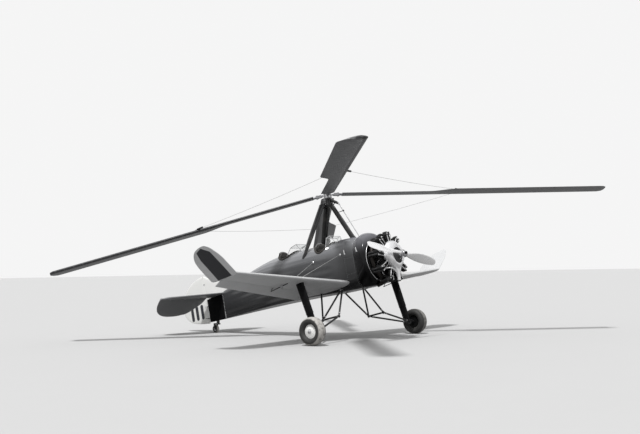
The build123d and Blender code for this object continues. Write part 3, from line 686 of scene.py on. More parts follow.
@dataclass(frozen=True)
class Enamel(Finish):
    """Stove enamel on metal: gloss with orange peel, chips down to the steel, and dust."""

    colour: Colour = (0.012, 0.012, 0.013)
    roughness: float = 0.28
    chips: float = 0.5
    dust: float = 0.25
    dust_colour: Colour = (0.3, 0.27, 0.23)
    specular: float = 0.5

    def paint(self, tree: ShaderTree) -> None:
        """Builds the shader."""
        peel = tree.noise(160.0, 2.0)
        cloud = tree.noise(4.0, 5.0, 0.65)
        chipped = tree.noise(34.0, 6.0, 0.72).between(0.695, 0.72) * self.chips
        dusty = cloud.between(0.5, 0.85) * self.dust
        colour = tree.blend(dusty, self.colour, self.dust_colour)
        colour = tree.blend(chipped, colour, (0.32, 0.31, 0.3))
        rough = cloud * 0.2 + dusty * 0.5 + (self.roughness - 0.06)
        normal = tree.bump(peel, 4e-5)
        normal = tree.bump(1 - chipped, 1.5e-4, 0.5, normal)
        tree.surface({"Base Color": colour, "Roughness": rough, "Metallic": chipped * 0.8,
                      "Specular IOR Level": self.specular, "Normal": normal})


@dataclass(frozen=True)
class Leather(Finish):
    """Upholstery leather: pebbled grain, creases and rubbed high spots."""

    colour: Colour = (0.03, 0.026, 0.022)
    roughness: float = 0.5

    def paint(self, tree: ShaderTree) -> None:
        """Builds the shader."""
        pebbles = tree.cells(260.0)
        crease = tree.noise(30.0, 6.0, 0.7)
        rubbed = tree.noise(5.0, 4.0, 0.6).between(0.5, 0.75)
        colour = tree.blend(rubbed * 0.5, self.colour, shade(self.colour, 2.2))
        # the creases are also drawn darker: painted shade in them
        colour = tree.blend(crease.between(0.6, 0.66) * 0.5, colour, shade(self.colour, 0.4))
        rough = self.roughness + 0.12 - rubbed * 0.18
        normal = tree.bump(pebbles, 4e-4)
        normal = tree.bump(crease, 8e-4, 0.7, normal)
        tree.surface({"Base Color": colour, "Roughness": rough, "Normal": normal})


@dataclass(frozen=True)
class Rubber(Finish):
    """Tyre rubber: fine moulding lines, cracks, and dry dust towards the tread."""

    colour: Colour = (0.03, 0.029, 0.028)
    dust_colour: Colour = (0.33, 0.3, 0.26)
    dust: float = 0.6
    tread_from: float = 0.5

    def paint(self, tree: ShaderTree) -> None:
        """Builds the shader."""
        cloud = tree.noise(11.0, 6.0, 0.7)
        grit = tree.noise(130.0, 3.0, 0.7)
        tread = tree.tag().between(self.tread_from, self.tread_from + 0.3)
        dusty = (tread * 0.9 + 0.04) * cloud.between(0.25, 0.55) * self.dust
        colour = tree.blend(grit.between(0.4, 0.8) * 0.4, self.colour, shade(self.colour, 1.8))
        colour = tree.blend(dusty, colour, self.dust_colour)
        cracks = tree.term("ShaderNodeTexVoronoi", {"feature": "DISTANCE_TO_EDGE"},
                           {"Vector": tree.place(), "Scale": 55.0})
        rough = dusty * 0.25 + grit * 0.12 + 0.58
        normal = tree.bump(grit, 5e-4)
        normal = tree.bump(cracks.between(0.0, 0.06), 3e-4, 0.5, normal)
        tree.surface({"Base Color": colour, "Roughness": rough, "Normal": normal})


@dataclass(frozen=True)
class Ply(Finish):
    """Varnished plywood floor boards with long grain and scuffs."""

    colour: Colour = (0.36, 0.22, 0.11)

    def paint(self, tree: ShaderTree) -> None:
        """Builds the shader."""
        grain = tree.noise(26.0, 6.0, 0.7, (0.12, 1.0, 1.0))
        scuff = tree.noise(8.0, 5.0, 0.7).between(0.55, 0.75)
        colour = tree.blend(grain.between(0.35, 0.7), shade(self.colour, 0.6), self.colour)
        colour = tree.blend(scuff * 0.5, colour, shade(self.colour, 0.45))
        rough = scuff * 0.35 + 0.3
        tree.surface({"Base Color": colour, "Roughness": rough, "Normal": tree.bump(grain, 3e-4)})


@dataclass(frozen=True)
class Pane(Finish):
    """Thin clear sheet, a little milky with age and dust."""

    colour: Colour = (0.97, 0.975, 0.975)

    def paint(self, tree: ShaderTree) -> None:
        """Builds the shader."""
        haze = tree.noise(7.0, 5.0, 0.65)
        tree.surface({"Base Color": tree.blend(haze * 0.3, self.colour, shade(self.colour, 0.95)),
                      "Roughness": haze.between(0.5, 0.95) * 0.05, "IOR": 1.04,
                      "Transmission Weight": 0.94, "Specular IOR Level": 0.8})


@dataclass(frozen=True)
class Crackle(Finish):
    """Crackle-black instrument paint."""

    colour: Colour = (0.015, 0.015, 0.016)

    def paint(self, tree: ShaderTree) -> None:
        """Builds the shader."""
        crackle = tree.term("ShaderNodeTexVoronoi", {"feature": "DISTANCE_TO_EDGE"},
                            {"Vector": tree.place(), "Scale": 330.0})
        rubbed = tree.noise(12.0, 4.0).between(0.55, 0.8)
        colour = tree.blend(rubbed * 0.4, self.colour, shade(self.colour, 3.0))
        rough = rubbed * -0.12 + 0.62
        tree.surface({"Base Color": colour, "Roughness": rough,
                      "Normal": tree.bump(crackle.between(0.0, 0.25), 4e-4)})


# the fuselage and cowling dope grows lighter upwards and darker downwards: painted light and painted shade
FUSELAGE = PaintedLightDope("Fuselage gloss", "fuselage_dope", (0.062, 0.063, 0.066), 0.24, coat=0.2, drift=0.2,
                         specular=0.35, painted_low_shade=0.25, painted_top_light=4.4)
# near-black cloth over the last bay: painted shadow of the stabiliser
STERN_SHADOW = Dope("Stern bay painted shadow", "fuselage_dope", (0.004, 0.004, 0.0045), 0.85, specular=0.08)
COWLING = PaintedLightDope("Cowling gloss", "fuselage_dope", (0.011, 0.011, 0.012), 0.16, coat=0.04, drift=0.1,
                        weave=1e-7, specular=0.14, painted_low_shade=0.15, painted_top_light=17.0)
SILVER = Dope("Silver dope", "silver_dope", (0.62, 0.625, 0.63), 0.42, metallic=0.2, tape_pitch=0.28)
# the tips' silver, drawn a little lighter than the wings': painted light; the dark panel on it is paint
TIP_LIT_SILVER = PanelledDope("Tip silver, painted light", "silver_dope", (0.68, 0.685, 0.69), 0.42, metallic=0.2)
# the tail's silver dope, drawn much darker than the wings': painted shade
TAIL_SHADED_SILVER = Dope("Tail silver, painted shade", "silver_dope", (0.22, 0.223, 0.23), 0.42, metallic=0.2,
                   tape_pitch=0.24, tape_width=0.04)
WHITE = BarredDope("White dope", "white_dope", (0.88, 0.88, 0.86), 0.42, tape_pitch=0.0, drift=0.1)
BLADE = PanelledDope("Blade dope", "blade_dope", (0.175, 0.177, 0.182), 0.4, tape_pitch=0.22,
                     tape_width=0.035, panel_colour=(0.03, 0.03, 0.033))
BLACK = Enamel("Black enamel", "steel_black")
GEAR_BLACK = Enamel("Gear leg enamel", "steel_black", (0.004, 0.004, 0.0045), 0.5, chips=0.2, dust=0.03,
                    specular=0.12)
FITTING = Metal("Blade root steel", "steel_bright", (0.26, 0.26, 0.27), 0.4)
STEEL = Metal("Machined steel", "steel_bright", (0.5, 0.5, 0.51), 0.32)
WIRE = Metal("Streamline wire", "steel_bright", (0.36, 0.36, 0.36), 0.45, metallic=0.4)
ALUMINIUM = Metal("Bare aluminium", "bare_aluminium", (0.8, 0.8, 0.81), 0.24, stain=0.2)
POLISHED = Metal("Polished blade", "propeller_metal", (0.97, 0.97, 0.975), 0.24, metallic=0.45,
                 grain=(8.0, 1.0, 8.0), stain=0.1)
BOWL_METAL = Metal("Bowl sheet", "crankcase", (0.88, 0.88, 0.89), 0.34, metallic=0.75, stain=0.12)
CASE_METAL = Cast("Cast crankcase", "crankcase", (0.07, 0.07, 0.072), 0.5, 0.5, (0.02, 0.018, 0.015))
IRON = Cast("Finned iron", "cylinder_black", (0.04, 0.04, 0.041), 0.4, 0.7, (0.015, 0.014, 0.012))
EXHAUST = Metal("Heat-stained pipe", "cylinder_black", (0.035, 0.032, 0.03), 0.5, stain=0.7)
COAMING = Leather("Coaming leather", "coaming_leather")
SEAT_LEATHER = Leather("Cushion leather", "coaming_leather", (0.016, 0.014, 0.012), 0.42)
SEAT_METAL = Metal("Pan sheet", "seat_metal", (0.42, 0.42, 0.42), 0.42)
PANEL = Crackle("Panel crackle", "panel_black")
DIAL = Crackle("Dial face", "panel_black", (0.01, 0.01, 0.01))
MARKS = Enamel("Dial marks", "wheel_white", (0.7, 0.7, 0.66), 0.5, chips=0.0, dust=0.1)
GLASS = Pane("Windscreen sheet", "screen")
TYRE = Rubber("Tyre rubber", "tyre", (0.012, 0.012, 0.012), (0.6, 0.58, 0.55), 0.9, 0.32)
DISC = Enamel("Wheel disc white", "wheel_white", (0.97, 0.97, 0.95), 0.25, chips=0.15, dust=0.05,
              dust_colour=(0.5, 0.48, 0.44))
BOARDS = Ply("Floor ply", "floor_ply")


def settled(thing: bpy.types.Object) -> bpy.types.Object:
    """Turns an object's modifiers into plain mesh.

    Args:
        thing: The object.

    Returns:
        The same object with its evaluated mesh and no modifiers.
    """
    graph = bpy.context.evaluated_depsgraph_get()
    plain = bpy.data.meshes.new_from_object(thing.evaluated_get(graph))
    thing.modifiers.clear()
    thing.data = plain
    return thing


def new_object(name: str, data: bpy.types.ID) -> bpy.types.Object:
    """Links a mesh, a lamp or a camera into the scene under a name."""
    thing = bpy.data.objects.new(name, data)
    bpy.context.scene.collection.objects.link(thing)
    return thing


def fasten(thing: bpy.types.Object, finish: Finish, replaces: Sequence[str] = (), body: str = "airframe",
           bevel: float = 0.0) -> bpy.types.Object:
    """Dresses a piece and ties it to the body that it moves with.

    Args:
        thing: The piece.
        finish: Its finish.
        replaces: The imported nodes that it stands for.
        body: The body's name.
        bevel: Width of a rounded edge, or 0.

    Returns:
        The piece.
    """
    if bevel:
        edge = thing.modifiers.new("edge", "BEVEL")
        edge.width, edge.segments, edge.limit_method = bevel, 2, "ANGLE"
        edge.angle_limit = radians(40)
    thing.data.materials.clear()
    thing.data.materials.append(finish.material())
    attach(thing, body)
    if replaces:
        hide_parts(*replaces)
    LOG.info("piece %s on %s: %d faces", thing.name, body, len(thing.data.polygons))
    return thing


def make(name: str, solid: Solid, finish: Finish, replaces: Sequence[str] = (), body: str = "airframe",
         place: Matrix = LEVEL, angle: float = SHARP, bevel: float = 0.0) -> bpy.types.Object:
    """Builds, dresses and ties one piece.

    Args:
        name: The piece's name.
        solid: Its points and faces.
        finish: Its finish.
        replaces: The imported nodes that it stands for.
        body: The body it moves with.
        place: Matrix from the drawing frame.
        angle: Edges sharper than this many degrees stay sharp.
        bevel: Width of a rounded edge, or 0.

    Returns:
        The piece.
    """
    return fasten(new_object(name, solid.mesh(name, place, angle)), finish, replaces, body, bevel)


def dress(finishes: dict[str, Finish]) -> None:
    """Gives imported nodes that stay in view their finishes."""
    for node, finish in finishes.items():
        thing = frame["nodes"][node]
        thing.data.materials.clear()
        thing.data.materials.append(finish.material())
        LOG.info("node %s dressed as %s", node, finish.name)


class Recipe(Tree):
    """A Geometry Nodes tree with named inputs."""

    def __init__(self, name: str, inputs: dict[str, str]) -> None:
        """Makes the tree's group input and output.

        Args:
            name: The tree's name.
            inputs: Socket type by input name, in order.
        """
        super().__init__(bpy.data.node_groups.new(name, "GeometryNodeTree"))
        sockets = self.tree.interface
        sockets.new_socket("Geometry", in_out="INPUT", socket_type="NodeSocketGeometry")
        for label, kind in inputs.items():
            sockets.new_socket(label, in_out="INPUT", socket_type=kind)
        sockets.new_socket("Geometry", in_out="OUTPUT", socket_type="NodeSocketGeometry")
        self.start = self.node("NodeGroupInput")

    def end(self, geometry: bpy.types.NodeSocket) -> None:
        """Realizes the instances, sets the material and ends the tree."""
        real = self.node("GeometryNodeRealizeInstances", None, {0: geometry})
        dressed = self.node("GeometryNodeSetMaterial", None,
                            {"Geometry": real.outputs[0], "Material": self.start.outputs["Material"]})
        self.node("NodeGroupOutput", None, {0: dressed.outputs[0]})

    def run(self, name: str, source: bpy.types.Mesh, values: dict[str, Any]) -> bpy.types.Object:
        """Runs the tree on a mesh.

        Args:
            name: Name of the new object.
            source: The mesh that it starts from.
            values: A value for each named input.

        Returns:
            An object with the plain result.
        """
        thing = new_object(name, source)
        modifier = thing.modifiers.new("recipe", "NODES")
        modifier.node_group = self.tree
        for item in self.tree.interface.items_tree:
            if item.in_out == "INPUT" and item.name in values:
                modifier[item.identifier] = values[item.name]
        return settled(thing)


class Fasteners:
    """Rows of round-headed steel screws along paths, set square to the surface."""

    def __init__(self) -> None:
        """Builds the tree."""
        kinds = {"Spacing": "NodeSocketFloat", "Head Radius": "NodeSocketFloat",
                 "Head Height": "NodeSocketFloat", "Material": "NodeSocketMaterial"}
        self.recipe = recipe = Recipe("Fastener row", kinds)
        start = recipe.start.outputs
        curve = recipe.node("GeometryNodeMeshToCurve", None, {"Mesh": start["Geometry"]})
        spread = recipe.node("GeometryNodeResampleCurve", {"mode": "LENGTH"},
                             {"Curve": curve.outputs[0], "Length": start["Spacing"]})
        facing = recipe.node("GeometryNodeInputNamedAttribute", {"data_type": "FLOAT_VECTOR"},
                             {"Name": "facing"})
        turn = recipe.node("FunctionNodeAlignRotationToVector", {"axis": "Z"}, {"Vector": facing.outputs[0]})
        head = recipe.node("GeometryNodeMeshUVSphere", None, {"Segments": 10, "Rings": 6, "Radius": 1.0})
        size = recipe.node("ShaderNodeCombineXYZ", None,
                           {"X": start["Head Radius"], "Y": start["Head Radius"], "Z": start["Head Height"]})
        rows = recipe.node("GeometryNodeInstanceOnPoints", None,
                           {"Points": spread.outputs[0], "Instance": head.outputs[0],
                            "Rotation": turn.outputs[0], "Scale": size.outputs[0]})
        recipe.end(rows.outputs[0])

    def row(self, name: str, paths: Sequence[Row], spacing: float, radius: float, height: float,
            body: str = "airframe", place: Matrix = LEVEL) -> None:
        """Sets screws along paths.

        Args:
            name: The piece's name.
            paths: Paths of (point, outward direction) pairs in the drawing frame.
            spacing: Distance between screws.
            radius: A head's radius.
            height: How far a head stands out.
            body: The body that carries them.
            place: Matrix from the drawing frame.
        """
        places, edges, facings = [], [], []
        for path in paths:
            first = len(places)
            places += [place @ point for point, _ in path]
            facings += [(place.to_3x3() @ facing).normalized() for _, facing in path]
            edges += [(first + i, first + i + 1) for i in range(len(path) - 1)]
        mesh = bpy.data.meshes.new(name)
        mesh.from_pydata(places, edges, [])
        attribute = mesh.attributes.new("facing", "FLOAT_VECTOR", "POINT")
        attribute.data.foreach_set("vector", [c for facing in facings for c in facing])
        thing = self.recipe.run(name, mesh, {"Spacing": spacing, "Head Radius": radius,
                                             "Head Height": height, "Material": STEEL.material()})
        thing.data.shade_smooth()
        fasten(thing, STEEL, body=body)


class Ring:
    """Copies of one shape turned about the level frame's x axis, as on a radial engine."""

    def __init__(self) -> None:
        """Builds the tree."""
        kinds = {"Count": "NodeSocketInt", "Step": "NodeSocketFloat", "Material": "NodeSocketMaterial"}
        self.recipe = recipe = Recipe("Turned copies", kinds)
        start = recipe.start.outputs
        places = recipe.node("GeometryNodePoints", None, {"Count": start["Count"]})
        number = recipe.node("GeometryNodeInputIndex")
        angle = recipe.node("ShaderNodeMath", {"operation": "MULTIPLY"},
                            {0: number.outputs[0], 1: start["Step"]})
        turn = recipe.node("ShaderNodeCombineXYZ", None, {"X": angle.outputs[0]})
        copies = recipe.node("GeometryNodeInstanceOnPoints", None,
                             {"Points": places.outputs[0], "Instance": start["Geometry"],
                              "Rotation": turn.outputs[0]})
        recipe.end(copies.outputs[0])

    def make(self, name: str, solid: Solid, count: int, finish: Finish,
             replaces: Sequence[str] = ()) -> None:
        """Turns a shape drawn in the level frame into a ring of copies.

        Args:
            name: The piece's name.
            solid: One copy's points and faces.
            count: How many copies.
            finish: Their finish.
            replaces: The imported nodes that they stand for.
        """
        values = {"Count": count, "Step": FULL_TURN / count, "Material": finish.material()}
        thing = self.recipe.run(name, solid.mesh(name, PARKED), values)
        thing.data.transform(LEVEL)
        fasten(thing, finish, replaces)


class BodyFrame(NamedTuple):
    """One fuselage frame."""

    x: float
    half_width: float
    bottom: float
    shoulder: float
    top: float
    corner: float


@dataclass(frozen=True)
class BodyLines:
    """The fuselage's lines: frames joined by smooth curves."""

    frames: tuple[BodyFrame, ...] = (
        BodyFrame(0.74, 0.430, -0.560, 0.200, 0.645, 0.250),
        BodyFrame(0.00, 0.430, -0.535, 0.300, 0.690, 0.140),
        BodyFrame(-0.90, 0.420, -0.480, 0.350, 0.735, 0.090),
        BodyFrame(-1.90, 0.350, -0.440, 0.360, 0.745, 0.060),
        BodyFrame(-3.00, 0.205, -0.425, 0.300, 0.555, 0.045),
        BodyFrame(-3.95, 0.090, -0.418, 0.235, 0.300, 0.020),
        BodyFrame(-4.60, 0.018, -0.412, 0.180, 0.205, 0.008),
    )
    stringer_sag: float = 0.007
    fabric_from: float = 0.05
    side_bays: int = 4
    deck_bays: int = 5
    bay_points: int = 6

    def at(self, x: float) -> BodyFrame:
        """The frame at a station, on a smooth curve through the known frames."""
        rows = self.frames
        last = len(rows) - 2
        low = next((i for i in range(last + 1) if x >= rows[i + 1].x), last)
        first, second = rows[low], rows[low + 1]
        span = second.x - first.x
        t = (x - first.x) / span

        def slope(index: int, column: int) -> float:
            """The curve's rise over the span at a known frame."""
            before, after = rows[max(index - 1, 0)], rows[min(index + 1, len(rows) - 1)]
            return span * (after[column] - before[column]) / (after.x - before.x)

        return BodyFrame(x, *(
            (2 * t ** 3 - 3 * t * t + 1) * first[column] + (t ** 3 - 2 * t * t + t) * slope(low, column)
            + (3 * t * t - 2 * t ** 3) * second[column] + (t ** 3 - t * t) * slope(low + 1, column)
            for column in range(1, 6)))

    def arch(self, row: BodyFrame) -> Pair:
        """Radius and centre height of a frame's arched deck."""
        rise = row.top - row.shoulder
        radius = (row.half_width ** 2 + rise ** 2) / (2 * rise)
        return radius, row.top - radius

    def deck(self, x: float, y: float) -> float:
        """Height of the deck at a place in plan."""
        radius, centre = self.arch(self.at(x))
        return centre + sqrt(max(radius ** 2 - y * y, 0.0))

    def ring(self, x: float, inset: float = 0.0) -> list[Vector]:
        """A frame's outline as fabric lies on it, sagging between its stringers.

        Args:
            x: The station.
            inset: How far inside the skin.

        Returns:
            The points, from the middle of the floor round by the left side.
        """
        row = self.at(x)
        wide, low, corner = row.half_width - inset, row.bottom + inset, row.corner
        radius, centre = self.arch(row)
        radius -= inset
        sag = self.stringer_sag * clamp((self.fabric_from - x) / 0.15) * min(1.0, wide / 0.2)
        half = [vec(x, share * (wide - corner), low) for share in evenly(4)[:-1]]
        half += [vec(x, wide - corner + corner * sin(a), low + corner - corner * cos(a))
                 for a in arc(7, 0, pi / 2, True)]
        for share in evenly(self.side_bays * self.bay_points)[1:-1]:
            dip = sag * sin(pi * share * self.side_bays) ** 2
            half.append(vec(x, wide - dip, lerp(low + corner, row.shoulder, share)))
        start = asin(min(1.0, wide / radius))
        for share in evenly(self.deck_bays * self.bay_points):
            reach = radius - sag * sin(pi * share * self.deck_bays) ** 2
            a = start * (1 - share)
            half.append(vec(x, reach * sin(a), centre + reach * cos(a)))
        return half + [vec(x, -p.y, p.z) for p in reversed(half[1:-1])]

    def side_point(self, x: float, z: float, side: int) -> tuple[Vector, Vector]:
        """A point on the flat of one side and the outward direction there."""
        return vec(x, side * self.at(x).half_width, z), vec(0, side, 0)


LINES = BodyLines()
COWL_LINES = BodyLines((
    BodyFrame(1.145, 0.530, -0.540, 0.030, 0.580, 0.490),
    BodyFrame(1.060, 0.550, -0.570, 0.060, 0.662, 0.500),
    BodyFrame(0.880, 0.500, -0.567, 0.120, 0.697, 0.380),
    BodyFrame(0.740, 0.430, -0.560, 0.200, 0.645, 0.250),
))


class Seat(Enum):
    """The two open cockpits."""

    FRONT = "front"
    REAR = "rear"


@dataclass(frozen=True)
class CockpitSizes:
    """Where one cockpit's opening, seat and windscreen lie."""

    x: float
    half_length: float
    half_width: float
    back_x: float
    pan_front: float
    panel_x: float
    back_top: float
    back_half_width: float
    screen_foot: Pair
    screen_rear_foot: Triple
    screen_top: Triple
    screen_visor: Triple

    def edge(self, angle: float) -> Pair:
        """A place in plan on the opening's edge."""
        return self.x + self.half_length * cos(angle), self.half_width * sin(angle)


def ring_row(lines: BodyLines, x: float, inset: float = 0.0) -> Row:
    """A fastener row round a frame, facing away from the middle."""
    ring = lines.ring(x, inset)
    return [(point, (point - vec(x, 0, 0)).normalized()) for point in ring + ring[:1]]


COCKPITS = {
    Seat.FRONT: CockpitSizes(-0.28, 0.268, 0.375, -0.497, -0.235, -0.03, 0.79, 0.21, (0.10, 0.13),
                             (-0.09, 0.34, 0.54), (0.0, 0.21, 0.85), (-0.11, 0.21, 0.82)),
    Seat.REAR: CockpitSizes(-1.47, 0.285, 0.31, -1.715, -1.335, -1.16, 0.861, 0.2, (-1.0, 0.13),
                            (-1.39, 0.26, 0.645), (-1.07, 0.2, 0.90), (-1.265, 0.2, 0.85)),
}


@dataclass
class Fuselage:
    """Skin, rims, fittings and fastener rows of the fuselage."""

    front_x: float = 0.74
    join_x: float = -1.90
    stern_frame_x: float = -3.93
    stern_x: float = -4.60
    step: float = 0.075
    skin: float = 0.02
    rim_radius: float = 0.021
    rim_gathers: int = 46
    boss_places: tuple[Pair, ...] = ((-0.462, 0.309), (0.37, 0.302))
    boss_profile: tuple[Pair, ...] = ((-0.01, 0.026), (0.004, 0.026), (0.012, 0.018), (0.02, 0.017),
                                      (0.026, 0.012), (0.027, 0.0))
    ridge_ends: Pair = (0.06, 0.64)
    ridge_rise: float = 0.038
    ridge_half_width: float = 0.13
    seam_places: Pair = (0.725, 0.47)

    def skin_rings(self, start: float, end: float) -> list[list[Vector]]:
        """Rings of the skin between two stations."""
        count = max(2, round((start - end) / self.step))
        return [LINES.ring(lerp(start, end, share)) for share in evenly(count)]

    def cabin(self) -> None:
        """The hollow cabin skin with its two cockpit openings."""
        rings = self.skin_rings(self.front_x, self.join_x)
        cabin = new_object("cabin_skin", Solid().loft(rings).mesh("cabin_skin", PARKED))
        wall = cabin.modifiers.new("wall", "SOLIDIFY")
        wall.thickness, wall.offset = self.skin, -1
        cutters = []
        for seat, sizes in COCKPITS.items():
            oval = [vec(*sizes.edge(a), 0.3) for a in arc(96)]
            cutters.append(new_object(f"{seat.value}_cutter",
                                      Solid().prism(oval, (0, 0, 0.7)).mesh("cutter", PARKED)))
            cut = cabin.modifiers.new("opening", "BOOLEAN")
            cut.object, cut.operation, cut.solver = cutters[-1], "DIFFERENCE", "EXACT"
        settled(cabin)
        for cutter in cutters:
            bpy.data.objects.remove(cutter)
        cabin.data.transform(LEVEL)
        cabin.data.set_sharp_from_angle(angle=radians(SHARP))
        fasten(cabin, FUSELAGE, ["fuselage_cabin"])

    def strip(self, x: float, half: float, proud: float) -> Solid:
        """A thin strip round the skin at a station, of a half width, proud of the skin."""
        rows = ((half, 0.002), (0.012, -proud), (-0.012, -proud), (-half, 0.002))
        return Solid().loft([LINES.ring(x + aside, inset) for aside, inset in rows], capped=False,
                            looped=True)

    def tail(self) -> None:
        """The tail cone's skin, the near-black stern bay that paints the stabiliser's shadow, and the bright
        strip round the stern frame.
        """
        make("tail_skin", Solid().loft(self.skin_rings(self.join_x, self.stern_frame_x)), FUSELAGE,
             ["fuselage_tail"])
        # the stern bay is drawn near black as painted shadow
        make("stern_shadow_bay", Solid().loft(self.skin_rings(self.stern_frame_x - 0.001, self.stern_x)), STERN_SHADOW)
        make("stern_strip", self.strip(self.stern_frame_x, 0.014, 0.002), ALUMINIUM)

    def rims(self) -> None:
        """The padded leather roll round each cockpit, gathered by its lacing."""
        rolls = Solid()
        for sizes in COCKPITS.values():
            path, radii = [], []
            for a in arc(self.rim_gathers * 6):
                x, y = sizes.edge(a)
                path.append(vec(x, y, LINES.deck(x, y) + self.rim_radius * 0.35))
                radii.append(self.rim_radius * (1 + 0.09 * cos(self.rim_gathers * a)))
            rolls.tube(path, radii, 16, looped=True)
        make("cockpit_rims", rolls, COAMING, ["cockpit_coamings"])

    def fittings(self) -> None:
        """Bright bosses and wire lugs on the sides, and the ridge on the deck."""
        bosses = Solid()
        for x, z in self.boss_places:
            bosses.revolve(self.boss_profile, *LINES.side_point(x, z, 1), 20)
        for lines, x, z in ((LINES, 0.507, 0.332), (COWL_LINES, 0.915, 0.305)):
            foot = vec(x, lines.at(x).half_width - 0.004, z - 0.05)
            bosses.tube([foot, foot + vec(0, 0.016, 0.03), foot + vec(0, 0.016, 0.10)],
                        [0.024, 0.015, 0.012], 14)
        make("side_bosses", bosses.twinned(), ALUMINIUM)
        ridge = []
        for share in evenly(24):
            x = lerp(*self.ridge_ends, share)
            fullness = sqrt(max(1 - (2 * share - 1) ** 4, 0.0))
            section = []
            for a in arc(13, -pi / 2, pi / 2, True):
                y = self.ridge_half_width * fullness * sin(a)
                section.append(vec(x, y, LINES.deck(x, y) - 0.004 + self.ridge_rise * fullness * cos(a)))
            ridge.append(section + [vec(x, 0, LINES.deck(x, 0) - 0.03)])
        make("deck_ridge", Solid().loft(ridge), COWLING)

    def seams(self, screws: Fasteners) -> None:
        """Strips and screws where the forward metal panels meet."""
        strips, rows = Solid(), []
        for x in self.seam_places:
            strips.take(self.strip(x, 0.013, 0.0015))
            rows.append(ring_row(LINES, x, -0.0015))
        make("panel_strips", strips, FUSELAGE)
        for side in SIDES:
            for height in (-0.2, 0.17):
                rows.append([LINES.side_point(x, height, side) for x in (0.70, 0.60, 0.50)])
        screws.row("panel_screws", rows, 0.045, 0.0045, 0.002)

    def build(self, screws: Fasteners) -> None:
        """Builds every piece of the fuselage."""
        self.cabin()
        self.tail()
        self.rims()
        self.fittings()
        self.seams(screws)


